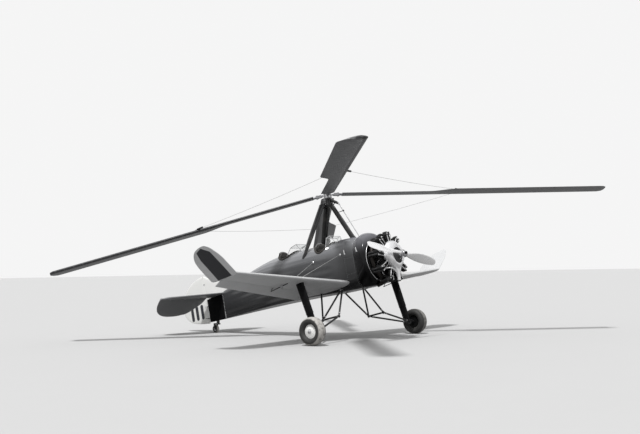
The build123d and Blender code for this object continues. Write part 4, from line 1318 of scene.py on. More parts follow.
@dataclass
class CockpitFitout:
    """Seats, cushions, panels, sticks and windscreens."""

    floor_z: float = -0.33
    pan_height: float = 0.24
    cushion_height: float = 0.085
    back_thickness: float = 0.055
    groove: float = 0.012
    puff: float = 0.01
    dial_height: float = 0.455
    dial_radius: float = 0.036
    dial_places: tuple[float, ...] = (-0.18, -0.06, 0.06, 0.18)
    # along the axis in metres, radius as a share of the dial's
    bezel: tuple[Pair, ...] = ((0, 1.16), (0.006, 1.14), (0.007, 1.02), (0.002, 0.96), (-0.012, 0.96),
                               (-0.012, 1.04), (0, 1.04))
    screen_thickness: float = 0.003
    screen_tube: float = 0.0065

    def back_outline(self, sizes: CockpitSizes, grow: float = 0.0) -> list[Pair]:
        """The seat back's outline as (y, z) pairs, from its left foot over the round top."""
        wide, top = sizes.back_half_width + grow, sizes.back_top + grow
        low = self.floor_z + self.pan_height - grow
        round_top = [(wide * copysign(abs(cos(a)) ** 0.8, cos(a)), lerp(top - 0.19, top, sin(a)))
                     for a in arc(17, 0, pi, True)]
        return [(wide, low)] + round_top + [(-wide, low)]

    def seats(self) -> None:
        """Pressed metal pans with rolled edges and flat backs."""
        pans = Solid()
        low, high = self.floor_z, self.floor_z + self.pan_height
        levels = ((low, 0.03), (high - 0.03, 0.0), (high, -0.006), (high, 0.012), (high - 0.05, 0.02))
        for sizes in COCKPITS.values():
            rear, front = sizes.back_x + 0.02, sizes.pan_front
            pans.loft([[vec(x, y, height) for x, y in rounded_box(
                (rear + front) / 2, 0, (front - rear) / 2 - inset, sizes.back_half_width - inset, 0.06)]
                for height, inset in levels])
            pans.prism([vec(sizes.back_x, y, z) for y, z in self.back_outline(sizes)], (0.012, 0, 0))
        make("seat_pans", pans, SEAT_METAL, ["seats"], bevel=0.002)

    def pad(self, name: str, outline: Sequence[Vector], depth: Vector, channels: int) -> None:
        """A stuffed pad: remeshed, blown up by a short cloth run, then sewn.

        Args:
            name: The piece's name.
            outline: The pad's flat outline, in the level frame.
            depth: Its thickness as a vector.
            channels: How many sewn channels it has.
        """
        pad = new_object(name, Solid().prism(outline, depth).mesh(name, PARKED))
        remesh = pad.modifiers.new("grid", "REMESH")
        remesh.mode, remesh.voxel_size = "VOXEL", 0.012
        settled(pad)
        self.inflate(pad)
        up = depth.cross((outline[-1] - outline[0]).normalized()).normalized()
        heights = [up.dot(point) for point in outline]
        low, span = min(heights), max(heights) - min(heights)
        outward = depth.normalized()
        for vert in pad.data.vertices:
            share = (up.dot(vert.co) - low) / span
            fullness = abs(sin(pi * channels * share)) ** 0.35
            vert.co -= outward * (self.groove * (1 - fullness)) * (outward.dot(vert.normal) > 0.2)
        smooth = pad.modifiers.new("smooth", "SUBSURF")
        smooth.levels = smooth.render_levels = 1
        settled(pad)
        pad.data.transform(LEVEL)
        pad.data.shade_smooth()
        fasten(pad, SEAT_LEATHER)

    def inflate(self, pad: bpy.types.Object) -> None:
        """Blows a pad up by cloth pressure, and caps how far a point may move."""
        start = [vert.co.copy() for vert in pad.data.vertices]
        cloth = pad.modifiers.new("cloth", "CLOTH")
        cloth.settings.use_pressure = True
        cloth.settings.uniform_pressure_force = 4.0
        cloth.settings.effector_weights.gravity = 0.0
        scene = bpy.context.scene
        for number in range(1, 16):
            scene.frame_set(number)
        settled(pad)
        scene.frame_set(1)
        for vert, before in zip(pad.data.vertices, start):
            move = vert.co - before
            if move.length > self.puff:
                vert.co = before + move.normalized() * self.puff

    def cushions(self) -> None:
        """A seat cushion and a back pad for each cockpit."""
        top = self.floor_z + self.pan_height - 0.045
        for seat, sizes in COCKPITS.items():
            rear, front = sizes.back_x + 0.066, sizes.pan_front - 0.02
            flat = rounded_box((rear + front) / 2, 0, (front - rear) / 2, sizes.back_half_width - 0.035,
                               0.05)
            self.pad(f"{seat.value}_seat_cushion", [vec(x, y, top) for x, y in flat],
                     vec(0, 0, self.cushion_height), 3)
            upright = [vec(sizes.back_x + 0.014, y, z if z > top + 0.1 else top + 0.16)
                       for y, z in self.back_outline(sizes, -0.012)]
            self.pad(f"{seat.value}_back_pad", upright, vec(self.back_thickness, 0, 0), 5)

    def dials(self) -> None:
        """Bezels, faces, marks and needles set in the panels."""
        bezels, faces, marks = Solid(), Solid(), Solid()
        radius, back = self.dial_radius, (-1, 0, 0)
        for sizes in COCKPITS.values():
            for place, y in enumerate(self.dial_places):
                middle = vec(sizes.panel_x - 0.001, y, self.dial_height)
                bezels.revolve([(x, radius * share) for x, share in self.bezel], middle, back, 32,
                               looped=True)
                faces.revolve([(-0.012, radius * 0.99), (-0.006, radius * 0.99)], middle, back, 32)
                face = middle + vec(0.0055, 0, 0)
                for a in arc(12):
                    turn = Matrix.Rotation(a, 4, (1, 0, 0))
                    marks.block(face + turn @ vec(0, 0, radius * 0.8), (0.0012, 0.0016, radius * 0.2), turn)
                lean = Matrix.Rotation(0.9 * place - 1.1, 4, (1, 0, 0))
                marks.block(face + lean @ vec(-0.001, 0, radius * 0.28), (0.0012, 0.002, radius * 0.85),
                            lean)
        make("dial_bezels", bezels, STEEL)
        make("dial_faces", faces, DIAL)
        make("dial_marks", marks, MARKS)

    def windscreens(self) -> None:
        """Faceted screens: front, side and visor sheets in a light metal frame."""
        sheets, frames = Solid(), Solid()
        r = self.screen_tube
        knob = [(-r, 0.0), (-0.004, 0.005), (0, r), (0.004, 0.005), (r, 0.0)]
        for sizes in COCKPITS.values():
            x, y = sizes.screen_foot
            rows = {"foot": (x, y, LINES.deck(x, y) - 0.01), "rear": sizes.screen_rear_foot,
                    "top": sizes.screen_top, "visor": sizes.screen_visor}
            outlines = [[("foot", -1), ("foot", 1), ("top", 1), ("top", -1)],
                        [("top", -1), ("top", 1), ("visor", 1), ("visor", -1)]]
            outlines += [[(key, side) for key in ("foot", "top", "visor", "rear")] for side in SIDES]
            for outline in outlines:
                corners = [vec(rows[key][0], side * rows[key][1], rows[key][2]) for key, side in outline]
                normal = (corners[1] - corners[0]).cross(corners[2] - corners[0]).normalized()
                sheets.prism(corners, normal * self.screen_thickness)
                for ends in zip(corners, corners[1:] + corners[:1]):
                    frames.tube(ends, r, 8)
                    for point in ends:
                        frames.revolve(knob, point, (0, 0, 1), 8)
        make("windscreen_sheets", sheets, GLASS, ["windscreens"])
        make("windscreen_frames", frames, ALUMINIUM)

    def build(self) -> None:
        """Builds every piece in the cockpits."""
        self.seats()
        self.cushions()
        self.dials()
        self.windscreens()
        dress({"cabin_floor": BOARDS, "instrument_panels": PANEL, "control_sticks": BLACK})


def rounded_box(x: float, y: float, half_x: float, half_y: float, radius: float) -> list[Pair]:
    """The outline of a rectangle with round corners, as (x, y) pairs."""
    outline = []
    for quarter, (sx, sy) in enumerate(((1, 1), (-1, 1), (-1, -1), (1, -1))):
        for a in arc(6, quarter * pi / 2, (quarter + 1) * pi / 2, True):
            outline.append((x + sx * (half_x - radius) + radius * cos(a),
                            y + sy * (half_y - radius) + radius * sin(a)))
    return outline


@dataclass
class Nose:
    """The cowl behind the engine, the nose bowl before it, and the exhaust ring."""

    firewall_x: float = 0.74
    plate_x: float = 0.796
    lip_x: float = 1.145
    lip_radius: float = 0.504
    lip_round: float = 0.055
    skin: float = 0.008
    bead: float = 0.010
    bowl_profile: tuple[Pair, ...] = ((1.50, 0.34), (1.545, 0.365), (1.60, 0.352), (1.635, 0.318),
                                      (1.66, 0.275), (1.675, 0.232), (1.681, 0.205), (1.678, 0.192),
                                      (1.668, 0.190))
    bowl_screw_circle: Pair = (1.601, 0.352)
    dent: float = 0.2
    # x, half depth, half width, height of the duct's rings, going down
    duct_rows: tuple[tuple[float, float, float, float], ...] = (
        (1.618, 0.030, 0.150, -0.200), (1.604, 0.034, 0.125, -0.270), (1.592, 0.034, 0.090, -0.350),
        (1.582, 0.032, 0.062, -0.430), (1.580, 0.028, 0.052, -0.500), (1.578, 0.024, 0.048, -0.570))
    exhaust_x: float = 1.285
    exhaust_radius: float = 0.485
    # behind the exhaust ring, y, z
    outlet: tuple[Triple, ...] = ((0, -0.12, -0.46), (0.02, -0.125, -0.51), (0.10, -0.13, -0.56),
                                  (0.22, -0.135, -0.585))
    breather: tuple[Triple, ...] = ((1.36, -0.30, -0.31), (1.48, -0.315, -0.275), (1.60, -0.30, -0.28),
                                    (1.635, -0.21, -0.325), (1.595, -0.075, -0.39))

    def shell(self, inset: float) -> list[list[Vector]]:
        """The cowl's rings from the fuselage forward, rolled in to the round lip.

        Args:
            inset: How far inside the outer face.

        Returns:
            The rings.
        """
        straight = self.lip_x - self.lip_round
        rings = [COWL_LINES.ring(lerp(self.firewall_x, straight, share), inset) for share in evenly(14)[:-1]]
        for turn in arc(8, 0, pi / 2, True):
            x = straight + (self.lip_round - inset) * sin(turn)
            ring = []
            for point in COWL_LINES.ring(x, inset):
                aside = vec(0, point.y, point.z)
                rolled = aside.lerp(aside.normalized() * self.lip_radius, 1 - cos(turn))
                ring.append(vec(x, rolled.y, rolled.z))
            rings.append(ring)
        return rings

    def cowl(self, screws: Fasteners) -> None:
        """The bulged collar with its bead, the plate at the engine mount and the screws."""
        skin = Solid().loft(self.shell(0.0) + list(reversed(self.shell(self.skin))), looped=True)
        make("nose_cowl_skin", skin, COWLING, ["nose_cowl"])
        bead = Solid().tube(circle(self.lip_x, self.lip_radius, 96), self.bead, 12, looped=True)
        make("cowl_lip", bead, ALUMINIUM)
        plate = Solid().prism(COWL_LINES.ring(self.plate_x, self.skin + 0.002), (0.004, 0, 0))
        make("firewall_plate", plate, BLACK)
        screws.row("cowl_screws", [ring_row(COWL_LINES, self.firewall_x + 0.02)], 0.05, 0.0055, 0.0025)

    def bowl(self, screws: Fasteners) -> None:
        """The polished bowl over the crankcase front, open round the shaft, and its duct."""
        inner = [(x - 0.006, r - 0.008) for x, r in reversed(self.bowl_profile)]
        rows = []
        for x, radius in [*self.bowl_profile, *inner]:
            dent = self.dent * max(0.0, (radius - 0.19) / 0.175)
            reaches = [radius * (1 - dent * max(0.0, -sin(a) * abs(cos(a)) * 2)) for a in arc(96)]
            rows.append([vec(x, cos(a) * reach, sin(a) * reach) for a, reach in zip(arc(96), reaches)])
        make("nose_bowl", Solid().loft(rows, looped=True), BOWL_METAL)
        duct = [[vec(x + dx, y, z) for dx, y in rounded_box(0, 0, depth, half, depth * 0.9)]
                for x, depth, half, z in self.duct_rows]
        make("air_duct", Solid().loft(duct), BOWL_METAL)
        x, radius = self.bowl_screw_circle
        row = [(vec(x, radius * cos(a), radius * sin(a)), vec(0.5, cos(a), sin(a)))
               for a in arc(73, whole=True)]
        screws.row("bowl_screws", [row], 0.09, 0.006, 0.003)

    def exhaust(self) -> None:
        """A collector ring behind the cylinders with its outlet below the cowl, and the breather."""
        x, ring = self.exhaust_x, Solid()
        ring.tube(circle(x, self.exhaust_radius, 72), 0.045, 16, looped=True)
        for a in arc(9, pi / 2, pi / 2 + FULL_TURN):
            outward, aside = vec(0, cos(a), sin(a)), vec(0, -sin(a), cos(a)) * 0.05
            ring.tube([vec(x + ahead, 0, 0) + outward * reach + aside
                       for ahead, reach in ((0, 0.48), (0.04, 0.485), (0.1, 0.478))], 0.026, 12)
        ring.tube([vec(x - back, y, z) for back, y, z in self.outlet], 0.04, 16)
        make("exhaust_ring", ring, EXHAUST)
        make("breather_pipe", Solid().tube(smoothed(points(*self.breather), 6), 0.016, 12), POLISHED)

    def build(self, screws: Fasteners) -> None:
        """Builds every piece of the nose."""
        self.cowl(screws)
        self.bowl(screws)
        self.exhaust()
        dress({"engine_mount": BLACK})


@dataclass
class Engine:
    """The nine-cylinder radial engine."""

    x: float = 1.45
    count: int = 9
    case_radius: float = 0.238
    case_half: float = 0.13
    base: float = 0.232
    barrel: float = 0.068
    head_core: float = 0.066
    fin_radius: float = 0.088
    fin_pitch: float = 0.0125
    head_low: float = 0.44
    head_high: float = 0.53
    # height, scale of the rocker box's rings
    rocker: tuple[Pair, ...] = ((-0.048, 0.92), (-0.044, 1.0), (0.028, 1.0), (0.036, 0.94), (0.038, 0.6))
    # distance behind the cylinder's axis, distance from the shaft
    elbow: tuple[Pair, ...] = ((0.04, 0.525), (0.12, 0.556), (0.20, 0.545), (0.235, 0.48))
    intake: tuple[Triple, ...] = ((1.27, 0.05, 0.168), (1.262, 0.06, 0.25), (1.285, 0.065, 0.345),
                                  (1.33, 0.06, 0.43), (1.36, 0.055, 0.455))
    # distance along and radius of the small turned parts
    cap: tuple[Pair, ...] = ((0, 0.016), (0.006, 0.016), (0.008, 0.008), (0.014, 0.007))
    plug: tuple[Pair, ...] = ((0, 0.011), (0.012, 0.011), (0.013, 0.007), (0.034, 0.006))
    stud: tuple[Pair, ...] = ((0, 0.009), (0.009, 0.009), (0.010, 0.004), (0.016, 0.004))
    lead_circle: Pair = (0.112, 0.262)

    def crankcase(self) -> None:
        """The turned case with its nose housing and rear drum."""
        front, rear, r = self.x + self.case_half, self.x - self.case_half, self.case_radius
        profile = [(0.99, 0.166), (1.0, 0.17), (rear - 0.01, 0.17), (rear, 0.20), (rear + 0.012, r),
                   (front - 0.012, r), (front, 0.205), (front + 0.03, 0.2), (front + 0.07, 0.168),
                   (front + 0.105, 0.11), (1.70, 0.088), (1.738, 0.078), (1.745, 0.07)]
        case = Solid().revolve(profile, (0, 0, 0), (1, 0, 0), 72)
        make("crankcase_body", case, CASE_METAL, ["engine_crankcase"], bevel=0.003)

    def fins(self, low: float, high: float, core: float, tip: float, taper: float) -> list[Pair]:
        """A stack of cooling fins as a profile of (height, radius) pairs.

        Args:
            low: Height of the first fin.
            high: Height that no fin reaches.
            core: Radius between the fins.
            tip: Thickness of a fin's tip.
            taper: How much the fins narrow going up.

        Returns:
            The profile.
        """
        stack, height = [], low
        while height < high:
            wide = self.fin_radius * (1.0 - taper * ((height - low) / 0.09) ** 2)
            outer = height + 0.001 + tip
            stack += [(height, core), (height + 0.001, wide), (outer, wide), (outer + 0.001, core)]
            height += self.fin_pitch
        return stack

    def barrels(self, ring: Ring) -> None:
        """Finned barrels and heads with their rocker boxes, ports and elbows, as a ring of copies."""
        base, top = self.base, self.head_high
        stack = [(base - 0.012, 0.092), (base + 0.006, 0.092), (base + 0.008, self.barrel)]
        stack += self.fins(base + 0.022, self.head_low - 0.006, self.barrel, 0.003, 0.0)
        stack += self.fins(self.head_low, top, self.head_core, 0.0035, 0.28)
        stack += [(top, 0.06), (top + 0.012, 0.045), (top + 0.014, 0.0)]
        barrel = Solid().revolve(stack, (self.x, 0, 0), (0, 0, 1), 28)
        box = [vec(x, y, 0) for x, y in rounded_box(0, 0, 0.062, 0.025, 0.018)]
        for side in SIDES:
            turn = Matrix.Rotation(side * radians(16), 4, (1, 0, 0))
            middle = vec(self.x + 0.012, side * 0.046, 0.552)
            barrel.loft([[middle + turn @ (p * scale + vec(0, 0, height)) for p in box]
                         for height, scale in self.rocker])
            port = ((0.03, 0.045, 0.475), (0.09, 0.052, 0.472), (0.12, 0.054, 0.462))
            barrel.tube([vec(self.x - back, side * y, z) for back, y, z in port], 0.03, 12)
            elbow = [vec(self.x - depth, side * 0.032, height) for depth, height in self.elbow]
            barrel.tube(smoothed(elbow, 3), 0.028, 12)
        ring.make("cylinders", barrel, self.count, IRON, ["engine_cylinders"])

    def bright_work(self, ring: Ring) -> None:
        """Push rod tubes, rocker caps, plugs, intake pipes and nuts, as rings of copies."""
        rods = Solid()
        for side in SIDES:
            foot = vec(self.x + 0.076, side * 0.030, self.base - 0.004)
            top = vec(self.x + 0.062, side * 0.049, 0.512)
            path = [foot.lerp(top, share) for share in (0, 0.04, 0.05, 0.95, 0.96, 1)]
            rods.tube(path, [0.014, 0.014, 0.011, 0.011, 0.013, 0.013], 12)
            rods.revolve(self.cap, (self.x + 0.072, side * 0.050, 0.545), (1, 0, 0), 10)
            rods.revolve(self.plug, (self.x + side * 0.075, side * 0.02, 0.492), (side, side * 0.3, 0.25), 6)
        ring.make("push_rods", rods, self.count, POLISHED)
        ring.make("intake_pipes", Solid().tube(points(*self.intake), 0.024, 12), self.count, ALUMINIUM)
        studs = Solid()
        for a in arc(4, pi / 4, pi / 4 + FULL_TURN):
            place = (self.x + 0.078 * cos(a), 0.078 * sin(a), self.base + 0.004)
            studs.revolve(self.stud, place, (0, 0, 1), 6)
        ring.make("cylinder_nuts", studs, self.count, STEEL)

    def leads(self) -> None:
        """The ignition ring with a lead to each cylinder."""
        ahead, radius = self.lead_circle
        x, wires = self.x + ahead, Solid()
        wires.tube(circle(x, radius, 54), 0.009, 10, looped=True)
        path = points((x, -0.02, radius), (x + 0.012, -0.024, 0.33), (x + 0.008, 0.0, 0.42),
                      (self.x + 0.108, 0.028, 0.50))
        for a in arc(self.count):
            turn = Matrix.Rotation(a, 4, (1, 0, 0))
            wires.tube([turn @ point for point in smoothed(path, 4)], 0.004, 8)
        make("ignition_leads", wires, COAMING)

    def build(self, ring: Ring) -> None:
        """Builds every piece of the engine."""
        self.crankcase()
        self.barrels(ring)
        self.bright_work(ring)
        self.leads()


def smoothed(path: Sequence[Vector], steps: int) -> list[Vector]:
    """A smooth path through a few points.

    Args:
        path: The points.
        steps: New points for each run.

    Returns:
        The finer path.
    """
    result = []
    for index in range(len(path) - 1):
        before, start = path[max(index - 1, 0)], path[index]
        end, after = path[index + 1], path[min(index + 2, len(path) - 1)]
        for number in range(steps):
            t = number / steps
            result.append(0.5 * (2 * start + (end - before) * t
                                 + (2 * before - 5 * start + 4 * end - after) * t * t
                                 + (3 * start - before - 3 * end + after) * t ** 3))
    return result + [path[-1]]


@dataclass
class Propeller:
    """Two forged metal blades clamped in a hub."""

    x: float = 1.815
    tilt: float = -9.1
    # radius, chord, thickness, pitch
    sections: tuple[tuple[float, float, float, float], ...] = (
        (0.055, 0.092, 0.088, 60.0), (0.16, 0.097, 0.085, 57.0), (0.33, 0.160, 0.062, 50.0),
        (0.55, 0.208, 0.044, 39.0), (0.76, 0.224, 0.034, 30.0), (1.00, 0.212, 0.026, 24.5),
        (1.20, 0.176, 0.018, 20.0), (1.29, 0.134, 0.013, 18.8), (1.325, 0.090, 0.010, 18.3),
        (1.338, 0.040, 0.007, 18.0))
    hub_profile: tuple[Pair, ...] = ((-0.065, 0.052), (-0.058, 0.06), (0.05, 0.06), (0.058, 0.055),
                                     (0.062, 0.042), (0.068, 0.04))
    clamp_profile: tuple[Pair, ...] = ((0.03, 0.05), (0.075, 0.053), (0.078, 0.058), (0.098, 0.058),
                                       (0.10, 0.053), (0.118, 0.051))
    nut_profile: tuple[Pair, ...] = ((0.067, 0.036), (0.105, 0.034), (0.107, 0.02))

    def blade(self) -> Solid:
        """One twisted blade along +y, flat behind and round at its root."""
        rings = []
        for radius, chord, thickness, pitch in self.sections:
            flat = lerp(0.35, 1.0, max(0.0, 1 - (radius - self.sections[0][0]) / 0.4))
            turn = Matrix.Rotation(radians(pitch), 3, (0, 1, 0))
            ring = []
            for a in arc(40):
                face = sin(a) * thickness / 2
                ring.append(vec(self.x, radius, 0)
                            + turn @ vec(face * flat if face < 0 else face, 0, cos(a) * chord / 2))
            rings.append(ring)
        return Solid().loft(rings)

    def build(self) -> None:
        """Builds the blades, the hub, its clamp rings and bolts."""
        turned = LEVEL @ Matrix.Rotation(radians(self.tilt), 4, (1, 0, 0))
        place, ahead = (self.x, 0, 0), (1, 0, 0)
        blades = self.blade()
        blades.take(Solid().take(blades), Matrix.Rotation(pi, 4, ahead))
        make("propeller_blade_pair", blades, POLISHED, ["propeller_blades"], "propeller", turned, 60)
        nut = Solid().revolve(self.nut_profile, place, ahead, 6)
        make("propeller_nut", nut, GEAR_BLACK, (), "propeller", turned)
        hub = Solid().revolve(self.hub_profile, place, ahead, 36)
        for side in SIDES:
            hub.revolve(self.clamp_profile, place, (0, side, 0), 32)
            for z in (-0.062, 0.062):
                hub.revolve([(-0.035, 0.009), (0.035, 0.009)], (self.x, side * 0.088, z), ahead, 6)
        make("propeller_hub_barrel", hub, STEEL, ["propeller_hub"], "propeller", turned)


@dataclass
class Pylon:
    """The rotor head housing on its front leg and two tapered rear legs."""

    rear_foot: Triple = (-0.77, 0.372, 0.485)
    rear_top: Triple = (-0.153, 0.105, 1.64)
    front_foot: Triple = (0.56, 0.0, 0.60)
    front_top: Triple = (0.07, 0.0, 1.59)
    # chord, thickness at even steps going up
    rear_sizes: tuple[Pair, ...] = ((0.075, 0.045), (0.12, 0.052), (0.160, 0.057), (0.170, 0.058),
                                    (0.172, 0.059), (0.174, 0.060), (0.175, 0.060))
    front_sizes: tuple[Pair, ...] = ((0.13, 0.06), (0.132, 0.062), (0.12, 0.058))
    head_radius: float = 0.08
    head_low: float = 1.57
    head_top: float = 1.78
    shaft_top: Triple = (0.10, 0, 1.715)
    shaft_knee: Triple = (0.29, 0, 1.59)
    shaft_foot: Triple = (0.745, 0, 0.585)
    tie_z: float = 1.385

    def legs(self) -> None:
        """Streamlined legs: the rear pair narrow to their feet."""
        rear = Solid().fairing(self.rear_foot, self.rear_top, self.rear_sizes, (1, 0.1, 0), 40)
        make("pylon_rear_fairings", rear.twinned(), BLACK, ["pylon_rear_legs"], angle=60)
        front = Solid().fairing(self.front_foot, self.front_top, self.front_sizes, (1, 0, 0.3), 40)
        make("pylon_front_fairing", front, BLACK, ["pylon_front_leg"], angle=60)
        cuffs = Solid()
        for foot, top, wide, thick in ((self.rear_foot, self.rear_top, 0.1, 0.062),
                                       (self.front_foot, self.front_top, 0.15, 0.078)):
            low = Vector(foot)
            up = (Vector(top) - low).normalized()
            cuff = Solid().fairing(low - up * 0.02, low + up * 0.1,
                                   ((wide, thick), (wide * 0.96, thick * 0.94)))
            cuffs.take(cuff.twinned() if foot[1] else cuff)
        make("pylon_cuffs", cuffs, BLACK, bevel=0.002)

    def head(self, screws: Fasteners) -> None:
        """The bearing housing with its flanges, its yoke and the flange bolts."""
        r, low, top = self.head_radius, self.head_low, self.head_top
        profile = [(low, r * 0.82), (low + 0.01, r * 0.95), (low + 0.035, r), (low + 0.038, r + 0.02),
                   (low + 0.05, r + 0.022), (low + 0.08, r + 0.02), (low + 0.083, r), (top - 0.05, r),
                   (top - 0.047, r + 0.006), (top - 0.03, r + 0.006), (top - 0.027, r - 0.004),
                   (top - 0.002, r - 0.004), (top - 0.002, 0.0415), (top - 0.07, 0.0415)]
        head = Solid().revolve(profile, (0, 0, 0), (0, 0, 1), 40)
        head.block((-0.12, 0, low + 0.06), (0.15, 0.27, 0.09))
        make("rotor_head_housing", head, BLACK, ["pylon_head"], bevel=0.003)
        bolts = r + 0.008
        row = [(vec(bolts * cos(a), bolts * sin(a), low + 0.083), vec(0, 0, 1)) for a in arc(49, whole=True)]
        screws.row("head_bolts", [row], 0.055, 0.006, 0.006)

    def starter(self) -> None:
        """The rotor starter's shaft, its upper housing, joints and tie to the leg."""
        top, knee, foot = points(self.shaft_top, self.shaft_knee, self.shaft_foot)
        line, run = knee - top, foot - knee
        length = line.length
        housing = Solid().revolve([(0, 0.034), (length * 0.7, 0.034), (length * 0.72, 0.03),
                                   (length * 0.9, 0.027), (length, 0.016)], top, line, 24)
        housing.tube([top.lerp(knee, 0.5), vec(0.13, 0, 1.60)], 0.012, 10)
        make("starter_housing", housing, BLACK)
        length = run.length
        shaft = Solid().revolve([(-0.01, 0.018), (0.04, 0.018), (0.045, 0.0105), (length - 0.07, 0.0105),
                                 (length - 0.065, 0.018), (length, 0.018)], knee, run, 16)
        make("starter_shaft", shaft, STEEL, ["rotor_starter_shaft"])
        tie = Solid().tube(points((0.195, 0, self.tie_z), (0.39, 0, self.tie_z)), 0.008, 8)
        tie.revolve([(-0.014, 0.02), (0.014, 0.02)], (0.388, 0, self.tie_z), run, 14)
        make("starter_tie", tie, BLACK)

    def build(self, screws: Fasteners) -> None:
        """Builds every piece of the pylon."""
        self.legs()
        self.head(screws)
        self.starter()


class BladeSetting(NamedTuple):
    """Where one rotor blade is parked."""

    quarter: int
    azimuth: float
    droop: float


@dataclass
class Rotor:
    """Hub, droop and drag fittings, blades, and the damped cables between them."""

    azimuth: float = -47.2
    settings: tuple[BladeSetting, ...] = (BladeSetting(0, 0.0, 4.6), BladeSetting(1, 0.4, 8.1),
                                          BladeSetting(2, 0.0, 4.6), BladeSetting(3, -0.8, 6.9))
    hinge: float = 0.15
    hub_low: float = 1.788
    hub_radius: float = 0.095
    hub_bore: float = 0.039
    radius: float = 6.858
    chord: float = 0.559
    root_chord: float = 0.33
    root: float = 0.36
    # radii between which the blade widens from its root chord to its full chord
    step: Pair = (2.5, 3.15)
    thickness: float = 0.078
    root_thickness: float = 0.062
    rib_pitch: float = 0.22
    # how far in from the tip the rear and front edges start to curve, and by what share of the chord
    tip_rear: Pair = (0.17, 0.42)
    tip_front: Pair = (0.09, 0.4)
    dark_edge: float = 0.14
    damper_radius: float = 3.35
    damper_gap: float = 0.10
    damper_profile: tuple[Pair, ...] = ((0.05, 0.018), (0.06, 0.022), (0.24, 0.022), (0.25, 0.017),
                                        (0.255, 0.006))
    cable_sag: float = 0.03

    def arm(self, setting: BladeSetting) -> Matrix:
        """The matrix of a hub arm, from +x on the hub's plane."""
        turn = Matrix.Rotation(radians(self.azimuth + 90 * setting.quarter + setting.azimuth), 4, (0, 0, 1))
        return Matrix.Translation((0, 0, ROTOR_HEIGHT)) @ turn

    def hang(self, setting: BladeSetting) -> Matrix:
        """The matrix of a parked blade, drooped about its hinge."""
        pivot = Matrix.Translation((self.hinge, 0, 0))
        droop = Matrix.Rotation(radians(setting.droop), 4, (0, 1, 0))
        return self.arm(setting) @ pivot @ droop @ pivot.inverted()

    def lug(self) -> Solid:
        """One lug of the hub with its pin and nuts, along +x."""
        h, inner = self.hinge, self.hub_radius - 0.03
        outline = [(inner, -0.026), (h, -0.022)]
        outline += [(h + 0.024 * cos(a), 0.024 * sin(a)) for a in arc(9, -pi / 2, pi / 2, True)]
        outline += [(h, 0.022), (inner, 0.026)]
        lug = Solid().prism([vec(x, -0.025, z) for x, z in outline], (0, 0.05, 0))
        lug.revolve([(-0.048, 0.012), (0.048, 0.012)], (h, 0, 0), (0, 1, 0), 18)
        for side in SIDES:
            lug.revolve([(0, 0.02), (0.01, 0.02), (0.012, 0.016)], (h, side * 0.0405, 0), (0, side, 0), 6)
        return lug

    def hub(self) -> None:
        """The turned hub with its stub, its lugs and its cap."""
        low, r, bore = self.hub_low, self.hub_radius, self.hub_bore
        # height above the hub's underside, radius
        profile = [(-0.065, bore), (0, bore), (0, r * 0.9), (0.008, r), (0.035, r), (0.04, r * 0.9),
                   (0.11, r * 0.9), (0.115, r), (0.142, r), (0.15, r * 0.92), (0.152, r * 0.7),
                   (0.18, r * 0.62), (0.192, r * 0.4), (0.195, 0.0)]
        hub = Solid().revolve([(low + up, radius) for up, radius in profile], (0, 0, 0), (0, 0, 1), 48)
        for setting in self.settings:
            hub.take(self.lug(), self.arm(setting))
        make("rotor_hub_body", hub, STEEL, ["rotor_hub"], "rotor", bevel=0.0015)

    def fitting(self) -> Solid:
        """The fork, drag block and spar end of one blade, along +x."""
        h, part = self.hinge, Solid()
        cheek = [(h + 0.03 * cos(a), 0.03 * sin(a)) for a in arc(13, pi / 2, 1.5 * pi, True)]
        cheek += [(h + 0.08, -0.034), (h + 0.08, 0.034)]
        for side in SIDES:
            part.prism([vec(x, side * 0.033 - 0.007, z) for x, z in cheek], (0, 0.014, 0))
        part.block((h + 0.1, 0, 0), (0.052, 0.084, 0.07))
        part.revolve([(-0.048, 0.022), (-0.04, 0.024), (0.04, 0.024), (0.048, 0.022)], (h + 0.108, 0, 0),
                     (0, 0, 1), 20)
        part.revolve([(h + 0.12, 0.035), (h + 0.14, 0.036), (h + 0.15, 0.03), (self.root, 0.03),
                      (self.root + 0.002, 0.042), (self.root + 0.02, 0.04), (self.root + 0.021, 0.0)],
                     (0, 0, 0), (1, 0, 0), 28)
        return part

    def section(self, radius: float) -> Pair:
        """Chord and thickness of a blade at a radius."""
        share = clamp((radius - self.step[0]) / (self.step[1] - self.step[0]))
        share = share * share * (3 - 2 * share)
        return lerp(self.root_chord, self.chord, share), lerp(self.root_thickness, self.thickness, share)

    def rounding(self, left: float, chord: float, corner: Pair) -> float:
        """How far an edge has curved in at a distance from the tip.

        Args:
            left: Distance left to the tip.
            chord: The chord there.
            corner: Where the curve starts and what share of the chord it takes.

        Returns:
            The distance in metres.
        """
        start, share = corner
        if left >= start:
            return 0.0
        return (1 - sqrt(max(0.0, 1 - (1 - left / start) ** 2))) * chord * share

    def blade(self) -> Solid:
        """One blade along +x with ribbed fabric behind a stiff nose, and a round tip."""
        nose = self.chord * 0.25
        stations = bays(self.root, self.radius, self.rib_pitch, (0.0, 0.12, 0.5, 0.88))[:-1]
        rings, tags = [], []
        for radius, slack in stations + [(self.radius - 0.0005, 0.0)]:
            chord, thick = self.section(radius)
            left = self.radius - radius
            lead = nose - self.rounding(left, chord, self.tip_front)
            trail = nose - chord + self.rounding(left, chord, self.tip_rear)
            thick *= ((lead - trail) / chord) ** 0.5
            rows = airfoil(22, 1.0)
            rings.append([vec(radius, lerp(lead, trail, share),
                              skin_height(height, share, thick, 0.11 * slack, (0.28, 0.1)))
                          for share, height in rows])
            tags.append([1.0 if share < self.dark_edge else 0.0 for share, _ in rows])
        return Solid().loft(rings, tags=tags)

    def hung(self, part: Solid) -> Solid:
        """A part of one blade, four times as the blades hang."""
        parts = Solid()
        for setting in self.settings:
            parts.take(part, self.hang(setting))
        return parts

